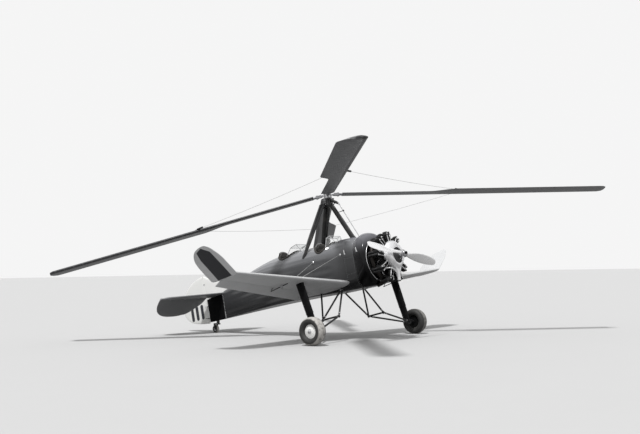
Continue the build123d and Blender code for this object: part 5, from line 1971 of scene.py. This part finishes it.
    def cables(self) -> None:
        """The cables that tie each blade to the next, with a friction damper at each end."""
        cables, drums, horns = Solid(), Solid(), Solid()
        places = [self.hang(setting) @ vec(self.damper_radius, 0.0, 0.05) for setting in self.settings]
        for place, following in zip(places, places[1:] + places[:1]):
            line = (following - place).normalized()
            start, end = place + line * self.damper_gap, following - line * self.damper_gap
            for first, along in ((start, line), (end, -line)):
                drums.revolve(self.damper_profile, first, along, 14)
                horns.tube([first - along * 0.12 - vec(0, 0, 0.03), first - along * 0.02,
                            first + along * 0.06], 0.007, 8)
            cables.tube([start.lerp(end, share) - vec(0, 0, self.cable_sag * (1 - (2 * share - 1) ** 2))
                         for share in evenly(8)], 0.0032, 6)
        for name, solid, finish in (("blade_cables", cables, WIRE), ("blade_dampers", drums, BLACK),
                                    ("damper_horns", horns, STEEL)):
            make(name, solid, finish, body="rotor")

    def build(self) -> None:
        """Builds every piece of the rotor."""
        self.hub()
        make("blade_forks", self.hung(self.fitting()), FITTING, ["blade_root_fittings"], "rotor",
             bevel=0.002)
        make("rotor_blade_set", self.hung(self.blade()), BLADE, ["rotor_blades"], "rotor", angle=50)
        self.cables()


def airfoil(count: int, cut: float) -> list[Pair]:
    """A section from its upper rear edge round the nose to its lower rear edge.

    Args:
        count: Points on each face.
        cut: Share of the chord where the section ends.

    Returns:
        Pairs of (share of the chord, height from -1 to 1).
    """
    def height(share: float) -> float:
        """Half thickness at a share of the chord, 1 at its fullest, never quite 0."""
        full = (0.2969 * sqrt(share) - 0.126 * share - 0.3516 * share ** 2 + 0.2843 * share ** 3
                - 0.1016 * share ** 4) / 0.1003
        return max(full, 0.02)

    shares = [cut * (1 - cos(a)) / 2 for a in arc(count, pi, 0, True)][:-1]
    return ([(share, height(share)) for share in shares] + [(0.0, 0.0)]
            + [(share, -height(share)) for share in reversed(shares)])


def skin_height(height: float, share: float, thick: float, sag: float, firm: Pair) -> float:
    """How far a section's skin stands off the chord line.

    Args:
        height: The section's height there, from -1 to 1.
        share: Share of the chord.
        thick: The section's thickness.
        sag: By what share the fabric sinks there.
        firm: Share of the chord where the stiff nose ends, and over which the fabric takes up.

    Returns:
        The distance, less than 0 below.
    """
    fabric = clamp((share - firm[0]) / firm[1]) * clamp((1 - share) / 0.1)
    return height * thick * (UPPER_SHARE if height > 0 else 1 - UPPER_SHARE) * (1 - sag * fabric)


def bays(low: float, high: float, pitch: float, places: Sequence[float]) -> list[Pair]:
    """Places along a fabric surface, with how slack the fabric is there.

    Args:
        low: Where the first bay starts.
        high: Where the last bay ends.
        pitch: Distance between ribs, about.
        places: Shares of each bay, from 0.

    Returns:
        Pairs of (place, slack from 0 at a rib to 1).
    """
    count = max(1, round((high - low) / pitch))
    rows = []
    for bay in range(count):
        start, end = lerp(low, high, bay / count), lerp(low, high, (bay + 1) / count)
        rows += [(lerp(start, end, share), sin(pi * share) ** 2) for share in places]
    return rows + [(high, 0.0)]


def inside_by(point: Pair, corners: Sequence[Pair]) -> float:
    """How far a flat point lies inside a convex outline; less than 0 outside."""
    middle = [sum(values) / len(corners) for values in zip(*corners)]
    least = inf
    for (x0, y0), (x1, y1) in zip(corners, corners[1:] + corners[:1]):
        length = hypot(x1 - x0, y1 - y0)
        away, centre = (((x1 - x0) * (y - y0) - (y1 - y0) * (x - x0)) / length for x, y in (point, middle))
        least = min(least, copysign(1.0, centre) * away)
    return least


@dataclass
class Wings:
    """Stub wings with their ailerons, upturned tips, control rods and screws."""

    root_y: float = 0.424
    break_y: float = 3.95
    # x, z of the leading edge
    root_edge: Pair = (0.490, -0.384)
    break_edge: Pair = (0.330, -0.070)
    root_chord: float = 1.33
    break_chord: float = 0.74
    incidence: float = 3.5
    thickness_share: float = 0.13
    aileron_y: Pair = (0.87, 3.88)
    aileron_chords: Pair = (0.38, 0.27)
    gap: float = 0.008
    tip_end_y: float = 4.62
    tip_end_z: float = 0.50
    tip_thickness: float = 0.026
    rib_pitch: float = 0.28
    parked: float = 20.0
    # share of the tip's length, leading edge and trailing edge as shares of the chord
    tip_rows: tuple[Triple, ...] = ((0.0, 0.0, 1.0), (0.14, -0.01, 0.995), (0.3, -0.02, 0.985),
                                    (0.46, -0.03, 0.965), (0.55, -0.035, 0.95), (0.65, -0.025, 0.92),
                                    (0.732, -0.008, 0.88), (0.82, 0.02, 0.81), (0.9, 0.045, 0.72),
                                    (0.955, 0.08, 0.63), (0.99, 0.11, 0.54), (1.015, 0.15, 0.44),
                                    (1.03, 0.20, 0.33), (1.034, 0.235, 0.26))
    # corners of the dark panel on the tip's outer face, as shares of length and chord
    tip_panel: tuple[Pair, ...] = ((1.0, 0.33), (0.925, 0.58), (0.68, 0.67), (-0.06, 0.73), (-0.04, 0.19),
                                   (0.83, 0.15))
    horn: Triple = (-0.378, 2.2, -0.370)
    rod_end: Triple = (0.14, 2.2, -0.297)

    def span_share(self, y: float) -> float:
        """Share of the way from the root to the tip's break."""
        return (y - self.root_y) / (self.break_y - self.root_y)

    def chord(self, y: float) -> float:
        """Chord at a spanwise place."""
        return lerp(self.root_chord, self.break_chord, self.span_share(y))

    def place(self, y: float, back: float, up: float) -> Vector:
        """A point behind the leading edge by a distance, and above the chord line."""
        edge_x, edge_z = (lerp(*ends, self.span_share(y)) for ends in zip(self.root_edge, self.break_edge))
        a = radians(self.incidence)
        return vec(edge_x - back * cos(a) + up * sin(a), y, edge_z - back * sin(a) + up * cos(a))

    def aileron_chord(self, y: float) -> float:
        """Aileron chord at a spanwise place."""
        low, high = self.aileron_y
        return lerp(*self.aileron_chords, (y - low) / (high - low))

    def nose(self, y: float) -> float:
        """Radius of the aileron's round nose."""
        return 0.5 * self.thickness_share * self.aileron_chord(y) * 1.55 * 0.92

    def stations(self, low: float, high: float) -> list[Pair]:
        """Spanwise places with how slack the fabric is there."""
        return bays(low, high, self.rib_pitch, (0, 0.1, 0.3, 0.5, 0.7, 0.9))

    def panel(self) -> Solid:
        """The left wing in three spans: root, aileron bay, and outer end."""
        wing = Solid()
        first, last = self.aileron_y
        low, high = first - self.gap, last + self.gap
        for start, end, bay in ((self.root_y - 0.02, low, False), (low, high, True),
                                (high, self.break_y, False)):
            rings = []
            for y, slack in self.stations(start, end):
                chord, cut = self.chord(y), 1.0
                if bay:
                    local = min(max(y, first), last)
                    cut = 1 - (self.aileron_chord(local) + self.gap + self.nose(local) * 1.15) / chord
                thick = self.thickness_share * chord
                rings.append([self.place(y, share * chord,
                                         skin_height(height, share, thick, 0.10 * slack, (0.1, 0.08)))
                              for share, height in airfoil(20, cut)])
            wing.loft(rings)
        return wing

    def aileron(self) -> Solid:
        """The left aileron, undeflected, with its round nose on the hinge line."""
        rings = []
        for y, slack in self.stations(*self.aileron_y):
            chord, width, radius = self.chord(y), self.aileron_chord(y), self.nose(y)
            upper, lower = [], []
            for share in evenly(9)[:-1]:
                sag = 1 - 0.12 * slack * sin(pi * share)
                half = lerp(0.004, radius, 1 - (1 - share) ** 1.3) * sag
                upper.append(self.place(y, chord - width * share, half))
                lower.append(self.place(y, chord - width * share, -half))
            nose = [self.place(y, chord - width - radius * sin(a), radius * cos(a))
                    for a in arc(9, 0, pi, True)]
            rings.append(upper + nose + list(reversed(lower)))
        return Solid().loft(rings)

    def tip(self) -> Solid:
        """The left upturned tip: a thin shell whose outer face carries the dark panel's tag."""
        base = self.place(self.break_y, 0, 0)
        rise = vec(0, self.tip_end_y - self.break_y, self.tip_end_z - self.break_edge[1])
        length, outward = rise.length, rise.normalized()
        a = radians(self.incidence)
        back = vec(-cos(a), 0, -sin(a))
        normal = back.cross(outward).normalized()
        chord, end = self.break_chord, self.tip_rows[-1][0]
        corners = [(along * length, behind * chord) for along, behind in self.tip_panel]
        rings, tags = [], []
        for share, lead, trail in smoothed(points(*self.tip_rows), 3):
            middle, half = (lead + trail) / 2, (trail - lead) / 2
            ring, ring_tags = [], []
            for angle in arc(44):
                edge, face = cos(angle), sin(angle)
                thick = self.tip_thickness / 2 * (0.25 + 0.75 * abs(face) ** 0.5)
                thick *= 1 + 1.6 * max(0.0, 1 - share) ** 3 * (1 - edge ** 2)
                thick *= min(1.0, 0.25 + (end - share) * 8)
                behind = (middle + half * edge) * chord
                ring.append(base + outward * (share * length) + back * behind
                            + normal * copysign(thick, face) * (abs(face) > 1e-6))
                depth = inside_by((share * length, behind), corners)
                ring_tags.append(0.0 if face < 0 else 0.5 + 8 * depth)
            rings.append(ring)
            tags.append(ring_tags)
        return Solid().loft(rings, tags=tags)

    def rods(self) -> Solid:
        """The left aileron's horn and push rod under the wing."""
        y = self.horn[1]
        hinge = self.chord(y) - self.aileron_chord(y)
        rods = Solid().tube([self.place(y, hinge + 0.01, -0.02), Vector(self.horn)], [0.010, 0.007], 8)
        return rods.tube(points(self.horn, self.rod_end), 0.010, 10)

    def screw_row(self, side: int, up: int) -> Row:
        """The screws along one face of a wing behind its metal nose."""
        row = []
        for share in evenly(4):
            y = lerp(self.root_y + 0.03, self.break_y - 0.03, share)
            chord = self.chord(y)
            height = UPPER_SHARE if up > 0 else UPPER_SHARE - 1
            point = self.place(y, chord * 0.115, height * self.thickness_share * chord * 0.83)
            row.append((vec(point.x, side * point.y, point.z), vec(0.25 * up, 0, up)))
        return row

    def build(self, screws: Fasteners) -> None:
        """Builds both wings, their ailerons, tips and fittings."""
        panel, aileron = self.panel(), self.aileron()
        for side, name in ((1, "left"), (-1, "right")):
            wing, flap = (part if side > 0 else part.mirrored() for part in (panel, aileron))
            make(f"{name}_wing_skin", wing, SILVER, [f"{name}_wing"], angle=40)
            make(f"{name}_aileron_skin", flap, SILVER, [f"{name}_aileron"], f"{name}_aileron",
                 swung(f"{name}_aileron_hinge", side * self.parked), 40)
        make("wing_tip_shells", self.tip().twinned(), TIP_LIT_SILVER, ["wing_tips"], angle=50)
        make("aileron_rods", self.rods().twinned(), BLACK)
        rows = [self.screw_row(side, up) for side in SIDES for up in (1, -1)]
        screws.row("wing_screws", rows, 0.055, 0.004, 0.0015)
        dress({"landing_wires": WIRE, "picketing_lugs": STEEL})


@dataclass
class Tail:
    """Stabilisers, elevator, fin and rudder."""

    stab_z: float = 0.25
    stab_thickness: float = 0.06
    root_edge_x: float = -3.85
    tip_edge_x: float = -4.34
    half_span: float = 1.75
    tip_round: float = 0.22
    hinge_x: float = -4.5
    elevator_chord: float = 0.70
    elevator_in: float = 0.15
    elevator_parked: float = -32.0
    # share of the half span where the cut corner ends, the chord's shares at its ends
    corner_end: float = 0.26
    corner_chords: Pair = (0.34, 0.93)
    rudder_x: float = -4.65
    fin_start_x: float = -3.35
    gap: float = 0.008
    rib_pitch: float = 0.24
    # height, how far behind the post the rudder's rear edge lies
    rudder_outline: tuple[Pair, ...] = ((-0.435, 0.01), (-0.42, 0.16), (-0.395, 0.33), (-0.355, 0.50),
                                        (-0.31, 0.645), (-0.25, 0.755), (-0.17, 0.845), (-0.06, 0.91),
                                        (0.06, 0.943), (0.15, 0.95), (0.24, 0.938), (0.34, 0.898),
                                        (0.43, 0.842), (0.52, 0.765), (0.60, 0.68), (0.67, 0.588),
                                        (0.73, 0.49), (0.78, 0.37), (0.815, 0.24), (0.84, 0.11),
                                        (0.85, 0.015))
    horn_z: float = -0.30

    def spans(self, low: float, finer: float) -> list[Pair]:
        """Places along the half span with the fabric's slack, closer together over the last stretch."""
        high = self.half_span
        rows = bays(low, high, self.rib_pitch, (0, 0.12, 0.35, 0.65, 0.88))
        return ([row for row in rows if row[0] < high - finer]
                + [(high - finer * (1 - sin(a)), 0.0) for a in arc(10, 0.0, pi / 2, True)])

    def slab(self, edges: Sequence[tuple[float, float, float, float]],
             frame_of: Callable[[float, float, float], Vector], front_half: float,
             rear_half: float) -> Solid:
        """A thin surface between two edges.

        Args:
            edges: Rows of (along, front edge, rear edge, slack).
            frame_of: Turns (along, back, up) into a point.
            front_half: Half thickness near the front edge.
            rear_half: Half thickness at the rear edge.

        Returns:
            The solid.
        """
        shares = [(1 - cos(a)) / 2 for a in arc(15, 0, pi, True)]
        round_trip = [(share, 1) for share in shares] + [(share, -1) for share in shares[-2:0:-1]]
        rings = []
        for along, front, rear, slack in edges:
            scale = min(1.0, max(abs(rear - front), 1e-4) / 0.12)
            ring = []
            for share, side in round_trip:
                half = lerp(front_half, rear_half, share) * sqrt(max(1 - (2 * share - 1) ** 8, 0.0))
                half *= (1 - 0.14 * slack * sin(pi * share)) * scale
                ring.append(frame_of(along, lerp(front, rear, share), side * half))
            rings.append(ring)
        return Solid().loft(rings)

    def flat(self, y: float, x: float, up: float) -> Vector:
        """A point of the stabilisers or the elevator before it hangs."""
        return vec(x, y, self.stab_z + up)

    def stabiliser(self) -> Solid:
        """The left fixed surface, from the fuselage to its round tip."""
        rear, rows = self.hinge_x + self.stab_thickness / 2 + self.gap, []
        for y, slack in self.spans(0.02, self.tip_round):
            edge = lerp(self.root_edge_x, self.tip_edge_x, y / self.half_span)
            over = max(0.0, (y - (self.half_span - self.tip_round)) / self.tip_round)
            if over:
                edge = lerp(rear + 0.004, edge, sqrt(max(1 - over ** 2, 0.0)))
            rows.append((y, edge, rear, slack))
        return self.slab(rows, self.flat, 0.026, 0.030)

    def elevator_half(self) -> Solid:
        """The left elevator half with its cut corner by the rudder."""
        rows, (least, most) = [], self.corner_chords
        low, high = self.elevator_in, self.half_span
        for y, slack in self.spans(low, 0.20):
            share = (y - low) / (high - low)
            past = share - self.corner_end
            if past < 0:
                rear = lerp(least, most, sin(share / self.corner_end * pi / 2))
            else:
                rear = lerp(most, 1.0, sin(min(1.0, past / 0.2) * pi / 2))
            rear *= sqrt(max(1 - max(0.0, (share - 0.5) / 0.5) ** 2.4, 0.0004))
            rows.append((y, self.hinge_x, self.hinge_x - rear * self.elevator_chord, slack))
        half = self.slab(rows, self.flat, 0.0285, 0.006)
        tube = [self.flat(y, self.hinge_x, 0) for y in (low, high - 0.012, high - 0.002)]
        return half.tube(tube, [0.0295, 0.0295, 0.018], 20)

    def elevator(self) -> None:
        """Both halves on their torque tube, hanging."""
        both = self.elevator_half().twinned()
        both.tube([self.flat(y, self.hinge_x, 0) for y in (-0.17, 0.17)], 0.0168, 18)
        for side in SIDES:
            y = side * 0.185
            both.fairing(self.flat(y, self.hinge_x - 0.01, 0), self.flat(y, self.hinge_x - 0.03, 0.14),
                         ((0.05, 0.012), (0.02, 0.008)), sides=12)
        make("elevator_skin", both, TAIL_SHADED_SILVER, ["elevator"], "elevator",
             swung("elevator_hinge", self.elevator_parked), 50)

    def fin(self) -> None:
        """The low fin, a curved edge rising to the rudder post."""
        post = self.rudder_x + 0.02 + self.gap
        rows = []
        for share in evenly(24):
            rise = 0.68 * share ** 1.15 + 0.32 * share ** 3
            rows.append((lerp(self.fin_start_x, post, share), 0.44 + 0.41 * rise, 0.16, 0.0))
        solid = self.slab(rows, lambda x, z, side: vec(x, side, z), 0.02, 0.022)
        make("fin_skin", solid, WHITE, ["fin"], angle=50)

    def rudder(self) -> None:
        """The deep rudder on its post, and its horns."""
        hinge = self.rudder_x
        rows = [(z, hinge, hinge - back, 0.0) for z, back in self.rudder_outline]
        solid = self.slab(rows, lambda z, x, side: vec(x, side, z), 0.0185, 0.006)
        solid.tube([vec(hinge, 0, z) for z in (-0.433, 0.848)], 0.0195, 20)
        make("rudder_skin", solid, WHITE, ["rudder"], "rudder", angle=50)
        horns = Solid()
        for side in SIDES:
            horns.prism([vec(hinge + ahead, side * out, self.horn_z)
                         for ahead, out in ((0.02, 0.01), (-0.04, 0.01), (-0.01, 0.13))], (0, 0, 0.008))
        make("rudder_horns", horns, BLACK, body="rudder")

    def hinges(self) -> None:
        """Hinge straps between the fin or stabilisers and the moving surfaces."""
        straps = Solid()
        for z in (0.62, 0.02, -0.30):
            straps.block((self.rudder_x + 0.02, 0, z), (0.05, 0.05, 0.03))
        for y in (0.45, 0.95, 1.45):
            for side in SIDES:
                straps.block((self.hinge_x + 0.034, side * y, self.stab_z), (0.03, 0.03, 0.066))
        make("tail_hinge_straps", straps, STEEL, bevel=0.003)

    def build(self) -> None:
        """Builds every piece of the tail."""
        make("stabiliser_skins", self.stabiliser().twinned(), TAIL_SHADED_SILVER, ["stabilisers"], angle=50)
        self.elevator()
        self.fin()
        self.rudder()
        self.hinges()


def tagged_turn(rows: Sequence[Triple], centre: Vector, axis: Sequence[float], faces: int) -> Solid:
    """A closed turned part with a tag for each place on its profile.

    Args:
        rows: (along the axis, radius, tag) of the profile's places.
        centre: A point on the axis.
        axis: The axis's direction.
        faces: Faces round the turn.

    Returns:
        The solid.
    """
    solid = Solid().revolve([row[:2] for row in rows], centre, axis, faces, looped=True)
    solid.tags = [tag for _, _, tag in rows for _ in range(faces + 1)]
    return solid


@dataclass
class Wheel:
    """One low-pressure wheel about a level axle."""

    name: str
    side: int
    dust: float = 1.0
    radius: float = 0.3105
    half_width: float = 0.134
    rim: float = 0.14
    disc_radius: float = 0.156
    grooves: tuple[float, ...] = (-0.03, 0.0, 0.03)
    groove_half_width: float = 0.006
    groove_depth: float = 0.004
    # along the axle, radius of the disc's pressed middle
    dish: tuple[Pair, ...] = ((0.035, 0.029), (0.088, 0.03), (0.096, 0.055), (0.089, 0.072), (0.080, 0.11))
    cap_profile: tuple[Pair, ...] = ((0.086, 0.05), (0.098, 0.05), (0.101, 0.045), (0.102, 0.0))

    def tyre_row(self, a: float) -> Triple:
        """Along the axle, radius and dust at an angle round the tyre's section; the inboard face gets no
        dust and stays dark as painted shade.
        """
        along = self.half_width * copysign(abs(cos(a)) ** 0.75, cos(a))
        high, bead = sin(a), self.rim + 0.004
        if high < 0:
            radius = lerp(bead, self.radius, (high + 1) / 2)
        else:
            radius = lerp((bead + self.radius) / 2, self.radius, high ** 0.9)
        grooves = sum(abs(along - groove) < self.groove_half_width for groove in self.grooves)
        if high > 0.9:
            radius -= self.groove_depth * grooves
        # dust on the tread and outboard face is real dust; none on the inboard face, which stays dark as
        # painted shade
        return along, radius, self.dust * max(0.0, high) * (along > -0.4 * self.half_width)

    def build(self, screws: Fasteners) -> None:
        """Builds the tyre, the disc wheel, its brake drum, its cap and its screws."""
        body, d, rim = f"{self.name}_wheel", self.disc_radius, self.rim
        centre, outward = Vector(JOINTS[f"{body}_spin"]["pos_m"]), vec(0, self.side, 0)
        tyre = tagged_turn([self.tyre_row(a) for a in arc(33, -0.5 * pi, 1.5 * pi)], centre, outward, 96)
        make(f"{self.name}_tyre_casing", tyre, TYRE, [f"{self.name}_tyre"], body, PARKED, 50)
        disc = Solid().revolve([*self.dish, (0.070, d - 0.012), (0.066, d), (0.058, d + 0.004),
                                (0.05, d - 0.004), (0.04, rim), (-0.02, rim)], centre, outward, 72)
        make(f"{self.name}_wheel_shell", disc, DISC, [f"{body}_disc"], body, PARKED, 40)
        # the brake drum is near-black enamel, and its dark also stands as painted shade on the wheel's
        # inboard face
        drum = Solid().revolve([(-0.0205, 0.0285), (-0.0205, rim), (-0.074, rim), (-0.08, rim - 0.006),
                                (-0.08, 0.05), (-0.086, 0.0285)], centre, outward, 72, looped=True)
        make(f"{self.name}_brake_drum", drum, GEAR_BLACK, (), body, PARKED, 40)
        cap = Solid().revolve(self.cap_profile, centre, outward, 32)
        cap.revolve([(0.100, 0.018), (0.1045, 0.016)], centre, outward, 6)
        make(f"{self.name}_hub_cap", cap, ALUMINIUM, (), body, PARKED)
        row = [(centre + outward * 0.0795 + vec(0.115 * cos(a), 0, 0.115 * sin(a)), outward)
               for a in arc(49, whole=True)]
        screws.row(f"{self.name}_disc_screws", [row], 0.06, 0.0055, 0.003, body, PARKED)


@dataclass
class LandingGear:
    """Faired shock legs, tube trusses, knuckles, axles and wheels."""

    axle: Triple = (0.466, 2.045, -1.422)
    leg_top: Triple = (0.195, 1.867, -0.30)
    knuckle_y: float = 1.83
    # chord, thickness of the upper and the sliding part, going down
    upper_sizes: tuple[Pair, ...] = ((0.216, 0.088), (0.212, 0.086), (0.206, 0.083))
    lower_sizes: tuple[Pair, ...] = ((0.192, 0.074), (0.192, 0.073), (0.18, 0.07))
    # share of the leg, chord, thickness of its bands
    bands: tuple[Triple, ...] = ((0.655, 0.212, 0.091), (0.12, 0.220, 0.094), (0.95, 0.188, 0.078))
    tube: float = 0.0215
    apex_rear: Triple = (-0.092, 0.906, -1.136)
    apex_front: Triple = (0.371, 0.888, -1.127)
    fitting_rear: Triple = (-0.366, 0.44, -0.45)
    fitting_front: Triple = (0.256, 0.42, -0.478)
    inside: float = 0.04
    apex_profile: tuple[Pair, ...] = ((-0.032, 0.0), (-0.03, 0.018), (-0.018, 0.029), (0, 0.033),
                                      (0.018, 0.029), (0.03, 0.018), (0.032, 0.0))

    def legs(self) -> None:
        """Streamlined legs with a sliding lower part, and their bands."""
        foot = vec(self.axle[0] - 0.085, self.knuckle_y, self.axle[2] + 0.04)
        top = Vector(self.leg_top)
        leg = Solid().fairing(top, top.lerp(foot, 0.66), self.upper_sizes, sides=40)
        leg.fairing(top.lerp(foot, 0.64), foot, self.lower_sizes, sides=40)
        make("gear_leg_fairings", leg.twinned(), GEAR_BLACK, ["gear_legs"], angle=60)
        bands = Solid()
        along = (foot - top).normalized() * 0.012
        for share, wide, thick in self.bands:
            middle = top.lerp(foot, share)
            bands.fairing(middle - along, middle + along, ((wide, thick), (wide, thick)))
        make("gear_leg_bands", bands.twinned(), GEAR_BLACK, bevel=0.002)

    def truss(self) -> None:
        """The tube truss with its apex clusters and end lugs."""
        rear, front, upper_rear, upper_front = points(self.apex_rear, self.apex_front, self.fitting_rear,
                                                      self.fitting_front)
        upper_rear += (upper_rear - rear).normalized() * self.inside
        upper_front += (upper_front - front).normalized() * self.inside
        x, _, z = self.axle
        members = ((rear, upper_rear), (rear, upper_front), (front, upper_front), (rear, front),
                   (rear, vec(x - 0.06, self.knuckle_y - 0.05, z)),
                   (front, vec(x, self.knuckle_y - 0.05, z + 0.015)))
        truss, collars, r = Solid(), Solid(), self.tube
        for start, end in members:
            truss.tube([start.lerp(end, share) for share in (0, 0.08, 0.16, 0.84, 0.92, 1)],
                       [r * 0.8, r * 0.9, r, r, r * 0.9, r * 0.8], 16)
            for share in (0.1, 0.9):
                collars.revolve([(-0.012, r * 1.12), (0.012, r * 1.12)], start.lerp(end, share),
                                end - start, 16)
        for apex in (rear, front):
            truss.revolve(self.apex_profile, apex, (0, 0, 1), 20)
            collars.revolve([(-0.04, 0.012), (0.04, 0.012)], apex, (0, 0.3, 1), 6)
        make("gear_truss_tubes", truss.twinned(), BLACK, ["gear_trusses"])
        make("gear_truss_collars", collars.twinned(), STEEL)

    def build(self, screws: Fasteners) -> None:
        """Builds the gear and both wheels."""
        self.legs()
        self.truss()
        dress({"gear_knuckles": BLACK, "axles": STEEL})
        # the left tyre gets less dust and stays darker: painted shade
        Wheel("left", 1, dust=0.45).build(screws)
        Wheel("right", -1).build(screws)


@dataclass
class TailWheel:
    """The small swivelling tail wheel."""

    radius: float = 0.1046
    rim: float = 0.05565
    half_width: float = 0.0375
    nut_y: float = 0.058

    def build(self) -> None:
        """Builds the tyre and nuts, and dresses the fork, socket and hub."""
        centre = Vector(JOINTS["tail_wheel_spin"]["pos_m"])
        rows = [(self.half_width * cos(a), lerp(self.rim, self.radius, (sin(a) + 1) / 2), max(0.0, sin(a)))
                for a in arc(24)]
        make("tail_tyre_casing", tagged_turn(rows, centre, (0, 1, 0), 64), TYRE, ["tail_wheel_tyre"],
             "tail_wheel", PARKED, 50)
        dress({"tail_wheel_hub": STEEL, "tail_wheel_fork": BLACK, "tail_wheel_socket": BLACK})
        nuts = Solid()
        for side in SIDES:
            nuts.revolve([(0, 0.016), (0.009, 0.016)], centre + vec(0, side * self.nut_y, 0), (0, side, 0),
                         6)
        make("tail_wheel_nuts", nuts, STEEL, (), "tail_caster", PARKED)


@dataclass
class Studio:
    """Pale floor, plain world, one soft sun and the camera at the photo's angle."""

    camera_place: Triple = (13.4705, -17.291, 1.629)
    yaw: float = 128.506
    pitch: float = 3.357
    roll: float = 0.898
    focal_px: float = 904.683
    frame_width_px: int = 640
    sensor: float = 36.0
    far_clip: float = 2000.0
    world_light: float = 0.64
    glossy_light: float = 0.85
    sky_shown: float = 0.915
    sun_strength: float = 2.7
    sun_width: float = 6.0
    sun_from: Triple = (0.14, -0.44, 0.89)
    floor_reach: float = 400.0
    floor_shown: float = 0.545
    floor_bounce: float = 0.24

    def camera(self) -> None:
        """The camera, from its place and its three angles."""
        yaw, pitch, roll = (radians(a) for a in (self.yaw, self.pitch, self.roll))
        ahead = vec(cos(yaw) * cos(pitch), sin(yaw) * cos(pitch), sin(pitch))
        right = vec(sin(yaw), -cos(yaw), 0)
        upward = right.cross(ahead)
        rolled = cos(roll) * right - sin(roll) * upward
        upright = cos(roll) * upward + sin(roll) * right
        data = bpy.data.cameras.new("photo_camera")
        data.sensor_width = self.sensor
        data.lens = self.focal_px * self.sensor / self.frame_width_px
        data.clip_end = self.far_clip
        camera = new_object("photo_camera", data)
        matrix = Matrix((rolled, upright, -ahead)).transposed().to_4x4()
        matrix.translation = Vector(self.camera_place)
        camera.matrix_world = matrix
        bpy.context.scene.camera = camera

    def world(self) -> None:
        """A pale sky that shows white to the camera and lights the object evenly."""
        world = bpy.data.worlds.new("studio")
        bpy.context.scene.world = world
        world.use_nodes = True
        world.node_tree.nodes.clear()
        tree = Tree(world.node_tree)
        path = tree.node("ShaderNodeLightPath").outputs
        seen = tree.node("ShaderNodeMath", {"operation": "MAXIMUM"},
                         {0: path["Is Camera Ray"], 1: path["Is Transmission Ray"]})
        skies = ((1.0, self.world_light), (1.0, self.glossy_light), (self.sky_shown, 1.0))
        light, gloss, white = (
            tree.node("ShaderNodeBackground", None, {"Color": (tone,) * 3, "Strength": strength})
            for tone, strength in skies)
        lit = tree.node("ShaderNodeMixShader", None,
                        {0: path["Is Glossy Ray"], 1: light.outputs[0], 2: gloss.outputs[0]})
        shown = tree.node("ShaderNodeMixShader", None,
                          {0: seen.outputs[0], 1: lit.outputs[0], 2: white.outputs[0]})
        tree.node("ShaderNodeOutputWorld", None, {0: shown.outputs[0]})

    def floor(self) -> None:
        """A wide pale floor at the wheels' level."""
        reach = self.floor_reach
        mesh = bpy.data.meshes.new("studio_floor")
        mesh.from_pydata([(-reach, -reach, 0), (reach, -reach, 0), (reach, reach, 0), (-reach, reach, 0)],
                         [], [(0, 1, 2, 3)])
        floor = new_object("studio_floor", mesh)
        tree = ShaderTree("Studio floor")
        mottle = tree.noise(0.6, 4.0, 0.6)
        shown = tree.blend(mottle * 0.3, (self.floor_shown,) * 3, (self.floor_shown * 0.93,) * 3)
        seen = tree.term("ShaderNodeLightPath", output="Is Camera Ray")
        colour = tree.blend(seen, (self.floor_bounce,) * 3, shown)
        tree.surface({"Base Color": colour, "Roughness": 0.95, "Specular IOR Level": 0.1})
        floor.data.materials.append(tree.material)

    def sun(self) -> None:
        """One broad sun from high on the near side, as in the photo."""
        data = bpy.data.lights.new("key", "SUN")
        data.energy, data.angle = self.sun_strength, radians(self.sun_width)
        lamp = new_object("key", data)
        lamp.rotation_euler = Vector(self.sun_from).to_track_quat("Z", "Y").to_euler()

    def build(self) -> None:
        """Sets the studio up."""
        bpy.context.scene.view_settings.view_transform = "Standard"
        self.camera()
        self.world()
        self.floor()
        self.sun()


def main() -> None:
    """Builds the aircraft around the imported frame, then the studio."""
    logging.basicConfig(level=logging.INFO, format="%(message)s")
    screws, ring = Fasteners(), Ring()
    Fuselage().build(screws)
    CockpitFitout().build()
    Nose().build(screws)
    Engine().build(ring)
    Propeller().build()
    Pylon().build(screws)
    Rotor().build()
    Wings().build(screws)
    Tail().build()
    LandingGear().build(screws)
    TailWheel().build()
    Studio().build()


if __name__ == "__main__":
    main()
